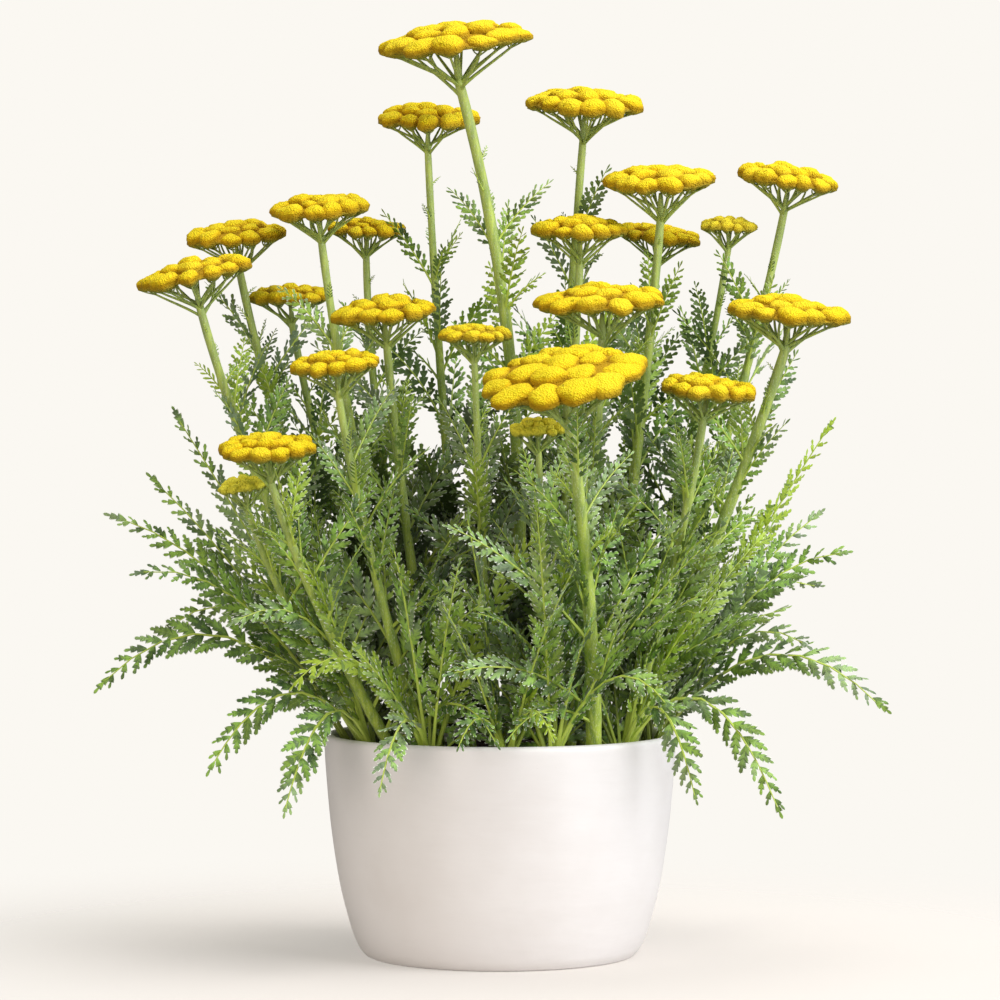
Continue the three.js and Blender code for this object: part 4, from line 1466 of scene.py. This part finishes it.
@dataclass
class Foliage:
    """Leaves as they are gathered: midribs, and rows of lobed leaflets along them.

    Attributes:
        seed: seed of the leaflets' random numbers.
        slant: angle from straight across the leaf to a leaflet, in radians.
        width: a leaflet's half width, as a share of its length.
        lobe: the length of leaflet that bears one more lobe.
        most: the most lobes that a leaflet bears on a side.
        thickness: how high a leaflet's ridge stands.
    """

    seed: int
    slant: float = 0.78
    width: float = 0.22
    lobe: float = 4.5
    most: int = 5
    thickness: float = 0.5

    def __post_init__(self) -> None:
        """Starts with no leaf and a repeatable run of random numbers."""
        self.random = np.random.default_rng(self.seed)
        self.skin = Skin("rib", "tone")
        self.rows: list[dict[str, Array]] = []

    def add_framed(self, leaves: list[Leaf], node: str) -> None:
        """Adds leaves bent as they are on the frame, without those that it left out.

        Args:
            leaves: the leaves before they are bent.
            node: the frame's node that they are part of.
        """
        bends = Bends(node)
        for number, leaf in enumerate(leaves, 1):
            bent = bends.settle(leaf)
            if bent is None:
                LOG.info("%s has no leaf %d", node, number)
            else:
                self.add(bent)

    def add(self, leaf: Leaf) -> None:
        """Adds a leaf's midrib, and its leaflets as rows to be made together.

        Leaflets stand by turns to the right and to the left, a pair every crowding times their
        full length, and one more ends the midrib. Their length is that of the frame's blades:
        sin(pi (0.16 + 0.84 s)^0.9)^0.7 over the leafy share s of the midrib, cut off at 0.86. They
        are slanted more toward the tip and, where the blade stands on edge, on its upper side.

        Args:
            leaf: the leaf.
        """
        length = leaf.length
        shares = np.linspace(0, 0.97, 10)
        at, _, _, up = leaf.axes(shares)
        thick = leaf.rib * mix(1, 0.22, shares) * (1 + 0.35 * np.exp(-shares * 14))
        ridge = (at + 0.5 * thick[:, None] * up)[None]
        self.skin.add(tubes(ridge, thick[None], 5, rib=1.0, tone=leaf.tone))
        pairs = max(3, int(round(length * (0.97 - leaf.bare) / (leaf.crowding * leaf.leaflet + 0.8))))
        count = 2 * pairs + 1
        step = np.minimum(1, (np.arange(count) + 0.5) / (2 * pairs))
        places = leaf.bare + (0.95 - leaf.bare) * step
        s = (places - leaf.bare) / (1 - leaf.bare)
        reach = 1.03 * leaf.leaflet * np.sin(np.pi * (0.16 + 0.84 * np.clip(s, 0, 0.86)) ** 0.9) ** 0.7
        at, right, along, up = leaf.axes(places)
        side = np.where(np.arange(count) % 2 == 0, 1.0, -1.0)
        hang = 0.16 * side * right[:, 2]
        slant = self.slant + 0.15 * s + hang + self.random.normal(0, 0.05, count)
        slant[-1] = np.pi / 2
        reach[-1] = 0.05 * length + 0.15 * leaf.leaflet
        self.rows.append(
            {
                "at": at,
                "right": right * side[:, None],
                "along": along,
                "up": up,
                "side": side,
                "reach": reach * self.random.uniform(0.9, 1.06, count),
                "slant": slant,
                "tone": leaf.tone + 0.07 * self.random.standard_normal(count),
            }
        )

    def leaflets(self) -> None:
        """Makes the leaflets, in batches with as many lobes as their size shows.

        Of a blade's three sides the first is its underside, which takes the second finish.
        """
        rows = {key: np.concatenate([row[key] for row in self.rows]) for key in self.rows[0]}
        lobes = np.clip(np.rint(rows["reach"] / self.lobe), 1, self.most)
        for count in range(1, self.most + 1):
            chosen = lobes == count
            if chosen.any():
                made = self.blades({key: value[chosen] for key, value in rows.items()}, count)
                finish = np.zeros(len(made.quads) + len(made.triangles), int)
                finish[: len(made.quads) : 3] = 1
                self.skin.add(made, finish)

    def blades(self, rows: dict[str, Array], lobes: int) -> Surface:
        """Lobed leaflets, each a thin closed blade.

        A leaflet's rib leaves the midrib at the slant, sweeps forward, lifts and curls down. Its edge
        goes out and back once a lobe: from the notch by the rib to the lobe's shoulder, to its tip
        and back. Shoulder and tip stand out by shares of the envelope sin(pi (0.2 + 0.8 t)^0.85)^0.7
        and are drawn forward along the rib, so that lobes are fingers that point ahead. The section
        is a low triangle whose ridge is the rib, turned a little on it; its edges droop, and each
        lobe is ruffled by itself.

        Args:
            rows: the leaflets' places, axes, sides, lengths, slants and tones.
            lobes: lobes on each side.

        Returns:
            The blades' surface.
        """
        count = len(rows["reach"])
        part, lobe = np.arange(3 * lobes + 1) % 3, np.arange(3 * lobes + 1) // 3
        t = 0.03 + 0.94 * (lobe + np.array([0.0, 0.58, 0.83])[part]) / lobes
        out = np.choose(part, [0.1 + 0.3 * t**2, 0.95, 1.0])
        out[0] = 0.3
        forward = np.array([0.0, 0.7, 0.76])[part]
        width = self.width * (0.8 if lobes == 1 else 1.0)
        reach = rows["reach"][:, None, None]
        lean = rows["slant"][:, None, None]
        curl = self.random.uniform(0.0, 0.22, (count, 1, 1))
        lift = self.random.normal(0.12, 0.15, (count, 1, 1))
        hook = self.random.uniform(0.04, 0.18, (count, 1, 1))
        right, along, up = (rows[key][:, None] for key in ("right", "along", "up"))
        run = t[None, :, None]
        rib = rows["at"][:, None] + reach * (
            right * (np.cos(lean) * run - hook * 0.5 * run**2)
            + along * (np.sin(lean) * run + hook * run**2)
            + up * (lift * run - curl * run**2)
        )
        way = unit(np.gradient(rib, axis=1))
        twist = (rows["side"] * 0.12 + self.random.normal(0, 0.24, count))[:, None, None]
        level = unit(up - dot(up, way) * way)
        beside = np.cross(way, level)
        over = level * np.cos(twist) + beside * np.sin(twist)
        across = beside * np.cos(twist) - level * np.sin(twist)
        envelope = np.sin(np.pi * (0.2 + 0.8 * np.clip(t, 0, 0.98)) ** 0.85) ** 0.7
        half = width * reach * (envelope * out)[None, :, None]
        swept = way * width * reach * (envelope * forward)[None, :, None]
        droop = self.random.uniform(0.0, 0.26, (count, 1, 1))
        ruffle = self.random.normal(0, 0.2, (2, count, lobes + 1, 1))[:, :, lobe]
        thick = self.thickness * mix(1.1, 0.5, t)[None, :, None] * np.minimum(1, reach / 14)
        left_edge = rib - across * half + swept - over * half * (droop + ruffle[0])
        right_edge = rib + across * half + swept - over * half * (droop + ruffle[1])
        rings = np.stack([right_edge, left_edge, rib + over * thick], 2)
        tip = rib[:, -1] + 0.05 * rows["reach"][:, None] * way[:, -1]
        marks = {
            "rib": np.where(np.arange(3) == 2, 0.86, np.where(part == 0, 0.4, 0.0)[:, None])[None],
            "tone": np.clip(rows["tone"], 0, 1)[:, None, None],
        }
        return sleeves(rings, rows["at"], tip, **marks)

    def build(self, name: str, leaf: list[Material], *nodes: str) -> bpy.types.Object:
        """Makes the gathered leaves one piece, shaded sharply over the edges of the blades.

        Args:
            name: the object's name.
            leaf: the materials of the leaves' upper sides and undersides.
            *nodes: the CAD nodes that it stands for.

        Returns:
            The leaves' object.
        """
        self.leaflets()
        made = self.skin.piece(name, Slot.FROND, leaf, *nodes)
        made.data.set_sharp_from_angle(angle=1.2)
        return made


@dataclass
class StemFoliage:
    """The leaves of a stalk: turned by the golden angle, shorter and steeper to the top.

    Attributes:
        plan: where the stalk stands.
        span: curve parameters of the frame's first and last leaf.
        lengths: their lengths.
        extra: how many more leaves the scene has than the frame's stalk.
        extra_span: curve parameters between which those leaves stand.
        extra_lengths: lengths of the lowest and the highest of them.
        bracts: curve parameter and length of each bract under the head.
    """

    plan: Bloom
    span: tuple[float, float] = (0.2, 0.74)
    lengths: tuple[float, float] = (112, 36)
    extra: int = 9
    extra_span: tuple[float, float] = (0.12, 0.8)
    extra_lengths: tuple[float, float] = (112, 62)
    bracts: Outline = ((0.78, 38), (0.82, 27), (0.87, 19), (0.93, 12))

    def leaves(self) -> list[Leaf]:
        """The leaves as the frame has them before they are bent.

        Returns:
            The leaves, from the lowest up.
        """
        plan, made = self.plan, []
        for k in range(plan.leaves):
            i = plan.index
            share = k / (plan.leaves - 1) if plan.leaves > 1 else 0
            t = mix(*self.span, share) + 0.03 * swing(i, k, 1)
            root = bezier(plan.line(), np.array([t]))[0][0]
            azimuth = GOLDEN_ANGLE * k + 1.7 * i
            length = mix(*self.lengths, math.sqrt(share)) * (1 + 0.12 * swing(i, k, 2))
            steep = mix(0.75, 1.05, share) + 0.12 * swing(i, k, 3)
            arms = arch(azimuth, steep, steep - 0.55, length)
            roll = facing_roll(azimuth, root) * 0.7 + 0.3 * swing(i, k, 4)
            bare = min(0.3, (plan.radius(t) + 2) / length)
            tone = 0.1 + 0.2 * share + 0.5 * draw(i, k, 5) ** 2
            made.append(Leaf(root, arms, azimuth, roll, length * 0.2, bare, tone, rib=1.1, crowding=0.48))
        return made

    def between(self, t: float, k: int, length: float, steep: float) -> Leaf:
        """A leaf or bract that the frame leaves out; one in front is turned a little aside.

        Args:
            t: the stalk's curve parameter.
            k: the leaf's number, which turns it by the golden angle.
            length: its length.
            steep: its climb at its root, in radians.

        Returns:
            The leaf.
        """
        i = self.plan.index
        root = bezier(self.plan.line(), np.array([t]))[0][0]
        azimuth = GOLDEN_ANGLE * (k + 0.5) + 2.3 * i
        if root[1] < BACK_DEPTH:
            azimuth += 0.75 * math.cos(azimuth)
        arms = arch(azimuth, steep, steep - 0.35 + 0.2 * swing(k, i, 6), length)
        roll = facing_roll(azimuth, root) + 0.25 * swing(k, i, 7)
        tone = 0.06 + 0.9 * draw(k, i, 8) ** 2.5
        rib = mix(0.6, 1.1, min(1.0, length / 100))
        return Leaf(root, arms, azimuth, roll, length * 0.18, 0.12, tone, rib, crowding=0.52)

    def front(self) -> list[Leaf]:
        """Leaves that the photo shows before the clump: from the root, by a pull, to the tip.

        Returns:
            The leaves, or none for most stalks.
        """
        made = []
        for root, pull, tip, leaflet in FRONT_LEAVES.get(self.plan.index, ()):
            arms = np.array([pull, tip], float) - root
            azimuth = math.atan2(arms[1, 1], arms[1, 0])
            roll = 1.15 * facing_roll(azimuth, root)
            made.append(Leaf(np.array(root, float), arms, azimuth, roll, leaflet, 0.12, 0.05, rib=1.3))
        return made

    def build(self, leaf: list[Material]) -> bpy.types.Object:
        """Makes the stalk's leaves: the frame's, those in front, more between, and bracts.

        Args:
            leaf: the materials of the leaves.

        Returns:
            The leaves' object.
        """
        i, number = self.plan.index, self.plan.number
        foliage = Foliage(SEED + i)
        foliage.add_framed(self.leaves(), f"stalk_{number}")
        for made in self.front():
            foliage.add(made)
        more = self.plan.leaves + self.extra
        for k in range(more):
            share = (k + 0.5) / more
            t = mix(*self.extra_span, share) + 0.03 * swing(i, k, 16)
            length = mix(*self.extra_lengths, share**0.8) * (1 + 0.12 * swing(i, k, 17))
            foliage.add(self.between(t, k, length, 1.12 + 0.15 * swing(i, k, 18)))
        for k, (t, length) in enumerate(self.bracts):
            foliage.add(self.between(t, more + k, length, 1.05))
        return foliage.build(f"stem_leaves_{number}", leaf, f"stalk_{number}")


Frond = tuple[Point, float, float]


@dataclass
class FrondTuft:
    """A crown of fronds that arch out over the pot, with upright and low leaves in its heart.

    Attributes:
        index: the tuft's number, from 0.
        foot: where it stands in the soil.
        fronds: tip, arch and leaflets' length of each of the frame's fronds.
        bright: the numbers of those that look young.
        upright: how many upright leaves it has.
        upright_lengths: lengths of the shortest and the longest of them.
        low: how many low leaves it has.
        low_length: their length.
        crown_top: height from which the fronds grow.
        offset: how far from the foot they do.
    """

    index: int
    foot: tuple[float, float]
    fronds: tuple[Frond, ...]
    bright: tuple[int, ...] = ()
    upright: int = 6
    upright_lengths: tuple[float, float] = (80, 205)
    low: int = 2
    low_length: float = 78
    crown_top: float = 142
    offset: float = 2.5

    def leaves(self) -> list[Leaf]:
        """The fronds as the frame has them before they are bent.

        Returns:
            The fronds.
        """
        crown = np.array([*self.foot, self.crown_top])
        made = []
        for k, (tip, arch, leaflet) in enumerate(self.fronds):
            span = np.array(tip) - crown
            azimuth = math.atan2(span[1], span[0])
            root = crown + self.offset * heading(azimuth, 0)
            reach = np.array(tip) - root
            middle = reach / 2 + np.array([0, 0, arch])
            roll = facing_roll(azimuth, root) + 0.2 * swing(self.index, k, 9)
            tone = 0.92 if k in self.bright else 0.16 * draw(self.index, k, 10)
            made.append(Leaf(root, np.stack([middle, reach]), azimuth, roll, leaflet, 0.2, tone, rib=1.6))
        return made

    def heart(self, azimuth: float, climb: float, then: float, length: float, **looks: float) -> Leaf:
        """A leaf of the tuft's heart.

        Args:
            azimuth: the way that it points.
            climb: its climb up to its middle.
            then: its climb from there.
            length: its length.
            **looks: the leaf's other values.

        Returns:
            The leaf.
        """
        root = np.array([*self.foot, self.crown_top - 3]) + 3 * heading(azimuth, 0)
        arms = arch(azimuth, climb, then, length)
        return Leaf(root, arms, azimuth, facing_roll(azimuth, root), **looks)

    def upright_leaves(self) -> list[Leaf]:
        """Upright leaves, from short to long.

        Returns:
            The leaves.
        """
        made = []
        outward = math.atan2(self.foot[1], self.foot[0])
        for k in range(self.upright):
            azimuth = outward + 2.8 * swing(self.index, k, 12)
            length = mix(*self.upright_lengths, (k + draw(self.index, k, 13)) / self.upright)
            steep = 1.22 + 0.15 * swing(self.index, k, 14)
            tone = 0.05 + 0.85 * draw(self.index, k, 15) ** 2
            looks = {"leaflet": 17, "bare": 0.16, "tone": tone, "rib": 1.3}
            made.append(self.heart(azimuth, steep, steep - 0.45, length, **looks))
        return made

    def low_leaves(self) -> list[Leaf]:
        """Short leaves that arch in over the soil and hide it.

        Returns:
            The leaves.
        """
        made = []
        inward = math.atan2(-self.foot[1], -self.foot[0])
        for k in range(self.low):
            azimuth = inward + (2 * k - 1) * 0.55 + 0.4 * swing(self.index, k, 19)
            length = self.low_length + 14 * swing(self.index, k, 20)
            tone = 0.15 * draw(self.index, k, 21)
            looks = {"leaflet": 15, "bare": 0.1, "tone": tone, "rib": 1.1, "crowding": 0.62}
            made.append(self.heart(azimuth, 0.85, -0.15, length, **looks))
        return made

    def crown(self) -> Surface:
        """The short woody crown that the fronds grow from: a rod that narrows to its top.

        Returns:
            The crown's surface.
        """
        foot = np.array([*self.foot, self.crown_top - 5])
        path = foot + np.array([-12.0, 0, 4, 7])[:, None] * UP
        return tubes(path[None], np.array([[4.8, 6, 5.6, 4.4]]), 10, 0.12, rib=0.9, tone=0.2)

    def build(self, leaf: list[Material]) -> bpy.types.Object:
        """Makes the tuft.

        Args:
            leaf: the materials of the leaves.

        Returns:
            The tuft's object.
        """
        number = f"{self.index + 1:02d}"
        foliage = Foliage(SEED + 100 + self.index)
        foliage.skin.add(self.crown())
        foliage.add_framed(self.leaves(), f"frond_tuft_{number}")
        for made in self.upright_leaves() + self.low_leaves():
            foliage.add(made)
        return foliage.build(f"fronds_{number}", leaf, f"frond_tuft_{number}")


@dataclass(frozen=True)
class Lamp:
    """A square soft light: its name, its place, its side, its power in watts and its colour."""

    name: str
    place: Point
    side: float
    power: float
    colour: int


@dataclass
class Studio:
    """Pale floor, soft light from the right and the front, and the camera at the photo's angle.

    Attributes:
        eye: the camera's place.
        focal: the focal length, in the photo's pixels.
        photo_width: the photo's width, in pixels.
        horizon: the pixel row that the camera's level meets, from the photo's top.
        sensor: the camera's sensor width, in millimetres.
        floor_radius: the round floor's radius.
        floor_sides: the floor's corners.
        aim: the place that the lights face.
        lamps: the lights.
    """

    eye: Point = (0.0, -2.728, 0.375)
    focal: float = 4000
    photo_width: float = 1000
    horizon: float = 404.5
    sensor: float = 36
    floor_radius: float = 40
    floor_sides: int = 64
    aim: Point = (0, 0, 0.32)
    lamps: tuple[Lamp, ...] = (
        Lamp("key_light", (2.4, -1.25, 1.9), 2.8, 127.0, 0xFAFBFF),
        Lamp("fill_light", (-1.7, -2.6, 0.45), 2.0, 32.0, 0xFFF2E6),
        Lamp("top_light", (0.1, 0.2, 2.6), 1.4, 36.0, 0xFFFEFC),
    )

    def camera(self) -> None:
        """Sets up the camera: level but for the small tilt that puts the horizon where it is."""
        data = bpy.data.cameras.new("photo_camera")
        data.sensor_width = self.sensor
        data.lens = self.focal / self.photo_width * self.sensor
        data.clip_start, data.clip_end = 0.05, 200
        made = bpy.data.objects.new("photo_camera", data)
        made.location = self.eye
        tilt = math.atan((self.photo_width / 2 - self.horizon) / self.focal)
        made.rotation_euler = (math.pi / 2 - tilt, 0, 0)
        bpy.context.scene.collection.objects.link(made)
        bpy.context.scene.camera = made

    def light(self) -> None:
        """Sets up the soft lights, each facing the plant."""
        for lamp in self.lamps:
            data = bpy.data.lights.new(lamp.name, "AREA")
            data.size, data.energy = lamp.side, lamp.power
            data.color = paint(lamp.colour)[:3]
            made = bpy.data.objects.new(lamp.name, data)
            made.location = lamp.place
            way = unit(np.array(lamp.place) - np.array(self.aim))
            made.rotation_euler = (math.acos(way[2]), 0, math.atan2(way[1], way[0]) + math.pi / 2)
            bpy.context.scene.collection.objects.link(made)

    def backdrop(self, strength: float = 0.27, seen: float = 1.0) -> None:
        """Sets up the pale surroundings, which light the plant less than they show.

        Args:
            strength: how brightly they light the plant.
            seen: how bright they look.
        """
        world = bpy.data.worlds.new("studio")
        bpy.context.scene.world = world
        world.use_nodes = True
        tree = world.node_tree
        tree.nodes.clear()
        ray = tree.nodes.new("ShaderNodeLightPath")
        level = tree.nodes.new("ShaderNodeMapRange")
        level.inputs[3].default_value = strength
        level.inputs[4].default_value = seen
        shine = tree.nodes.new("ShaderNodeBackground")
        shine.inputs[0].default_value = paint(0xFBF8F2)
        end = tree.nodes.new("ShaderNodeOutputWorld")
        tree.links.new(ray.outputs["Is Camera Ray"], level.inputs[0])
        tree.links.new(level.outputs[0], shine.inputs[1])
        tree.links.new(shine.outputs[0], end.inputs[0])

    def floor(self) -> None:
        """Lays the round floor: a fan of triangles, which isn't part of the plant."""
        edge = polar(self.floor_radius, evenly(self.floor_sides))
        points = np.concatenate([np.zeros((1, 3)), edge])
        k = np.arange(self.floor_sides)
        faces = np.stack([0 * k, k + 1, np.roll(k, -1) + 1], 1)
        mesh = bpy.data.meshes.new("studio_floor")
        mesh.from_pydata(points.tolist(), [], faces.tolist())
        mesh.materials.append(FloorFinish().material())
        made = bpy.data.objects.new("studio_floor", mesh)
        bpy.context.scene.collection.objects.link(made)
        made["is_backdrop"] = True

    def build(self) -> None:
        """Sets up the whole studio."""
        self.camera()
        self.light()
        self.backdrop()
        self.floor()
        bpy.context.scene.view_settings.view_transform = "Standard"


# Each stalk's values in the order of Bloom's: the head's place, width and lean, the stalk's foot, bow
# and leaves, and then how unripe the head is and the stalk's girth where they aren't the usual ones.
STALKS = (
    ((-31, 0, 620), 106, (-7, 11), (4, 4), 33, 7, 0.0, 1.08),
    ((-50, 60, 573), 70, (1, 12), (-20, 30), 0, 5),
    ((59, 75, 584), 85, (2, 12), (34, 40), -6, 5),
    ((110, 25, 527), 80, (-2, 11), (66, 8), 0, 5),
    ((200, 45, 530), 70, (8, 10), (80, 22), 0, 5),
    ((-124, 15, 508), 69, (-4, 11), (-52, 6), 0, 4),
    ((55, 20, 494), 65, (0, 9), (30, 6), 0, 4),
    ((-93, 70, 497), 54, (2, 9), (-42, 36), -8, 4),
    ((112, 85, 493), 60, (7, 9), (56, 62), 0, 4),
    ((159, 50, 498), 43, (2, 8), (72, 50), 0, 3, 0.35),
    ((-183, 45, 491), 71, (-5, 9), (-74, 28), 0, 4),
    ((-208, -15, 462), 80, (-12, 8), (-76, 2), 0, 5),
    ((-146, 65, 450), 60, (-2, 8), (-60, 48), 0, 4),
    ((-78, -35, 436), 73, (-5, 9), (-40, -30), 0, 4),
    ((68, -45, 443), 91, (-2, 9), (46, -22), 0, 4),
    ((-17, -55, 421), 50, (0, 7), (-4, -36), 0, 4, 0.15),
    ((194, -40, 435), 85, (5, 8), (84, -22), -6, 5, 0.0, 1.15),
    ((-109, -75, 401), 62, (-5, 9), (-48, -66), 0, 4),
    ((41, -138, 391), 112, (-8, 19), (62, -78), 8, 5, 0.0, 1.18),
    ((137, -75, 384), 67, (6, 9), (80, -46), 0, 4),
    ((-152, -105, 345), 66, (-3, 11), (-68, -58), 0, 4),
    ((-170, -75, 320), 37, (-9, 8), (-86, -34), 0, 3, 0.85),
    ((25, -98, 358), 40, (-2, 8), (36, -66), 0, 3, 0.7),
)

# Each tuft's foot, and for each of its fronds the tip, how high it arches and its leaflets' length.
TUFTS = (
    ((-99, -12), (
        ((-271, -34, 184), 110, 22), ((-266, 2, 299), 58, 21), ((-240, 26, 324), 30, 20),
        ((-244, -58, 262), 76, 20))),
    ((-84, -58), (
        ((-192, -92, 133), 92, 21), ((-141, -124, 108), 92, 20), ((-180, -70, 232), 56, 22),
        ((-205, -88, 205), 84, 20))),
    ((-46, -88), (
        ((-78, -150, 124), 70, 17), ((-70, -128, 286), 24, 22), ((-126, -134, 190), 78, 20))),
    ((4, -93), (
        ((-31, -150, 198), 58, 18), ((-24, -142, 150), 46, 14), ((-22, -116, 305), 26, 22),
        ((34, -150, 158), 50, 14))),
    ((34, -94), (
        ((84, -142, 240), 42, 20), ((60, -146, 290), 30, 20), ((110, -148, 178), 72, 18))),
    ((81, -63), (
        ((128, -120, 116), 92, 19), ((184, -108, 106), 112, 21), ((168, -124, 214), 72, 21),
        ((150, -98, 288), 40, 22))),
    ((103, -4), (
        ((262, -40, 166), 100, 22), ((247, -8, 266), 68, 22), ((205, -66, 214), 72, 21),
        ((236, 10, 300), 44, 20))),
    ((96, 34), (
        ((246, 40, 356), 10, 20), ((246, 96, 236), 84, 22), ((210, 62, 362), 12, 19),
        ((190, 142, 176), 96, 22))),
    ((52, 86), (
        ((150, 196, 182), 96, 22), ((96, 172, 300), 46, 22), ((72, 222, 236), 84, 22),
        ((122, 128, 116), 92, 18))),
    ((2, 88), (
        ((22, 234, 178), 100, 22), ((-26, 212, 262), 72, 22), ((8, 158, 326), 34, 21),
        ((-14, 152, 112), 88, 18))),
    ((-50, 84), (
        ((-118, 204, 196), 96, 22), ((-84, 168, 306), 44, 22), ((-150, 164, 262), 72, 22),
        ((-86, 142, 112), 88, 18))),
    ((-90, 46), (
        ((-236, 78, 216), 98, 22), ((-226, 44, 370), 10, 19), ((-206, 132, 286), 62, 22),
        ((-190, 126, 158), 94, 20))),
)
# Leaves in front of the clump, by stalk: root, pull, tip and leaflets' length of each.
FRONT_LEAVES = {
    17: (((-56, -67, 165), (-22, -112, 196), (-2, -130, 153), 12),),
    18: (
        ((62, -87, 170), (18, -128, 218), (-35, -152, 200), 17),
        ((60, -99, 216), (16, -124, 275), (-35, -142, 297), 17),
        ((62, -86, 163), (28, -118, 190), (5, -132, 157), 12),
    ),
    22: (((32, -76, 197), (9, -116, 236), (-17, -142, 240), 14),),
}
# The fronds that look young, by tuft.
BRIGHT_FRONDS = {2: (2,), 3: (3,), 5: (2,), 7: (0, 2)}


def main() -> None:
    """Builds the studio and the plant, piece by piece."""
    logging.basicConfig(level=logging.INFO, format="%(message)s")
    Studio().build()
    Pot().build(GlazeFinish().material())
    Soil().build(SoilFinish().material())
    stem, floret = StemFinish().material(), FloretFinish().material()
    leaf = [LeafFinish().material(), UNDERSIDE.material()]
    for index, row in enumerate(STALKS):
        plan = Bloom(index, *row)
        head = FlowerHead(plan)
        head.build(floret)
        Stem(plan, head).build(stem)
        StemFoliage(plan).build(leaf)
    for index, (foot, fronds) in enumerate(TUFTS):
        FrondTuft(index, foot, fronds, BRIGHT_FRONDS.get(index, ())).build(leaf)
    total = sum(len(o.data.loops) - 2 * len(o.data.polygons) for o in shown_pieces())
    LOG.info("all pieces: %d triangles", total)


if __name__ == "__main__":
    main()
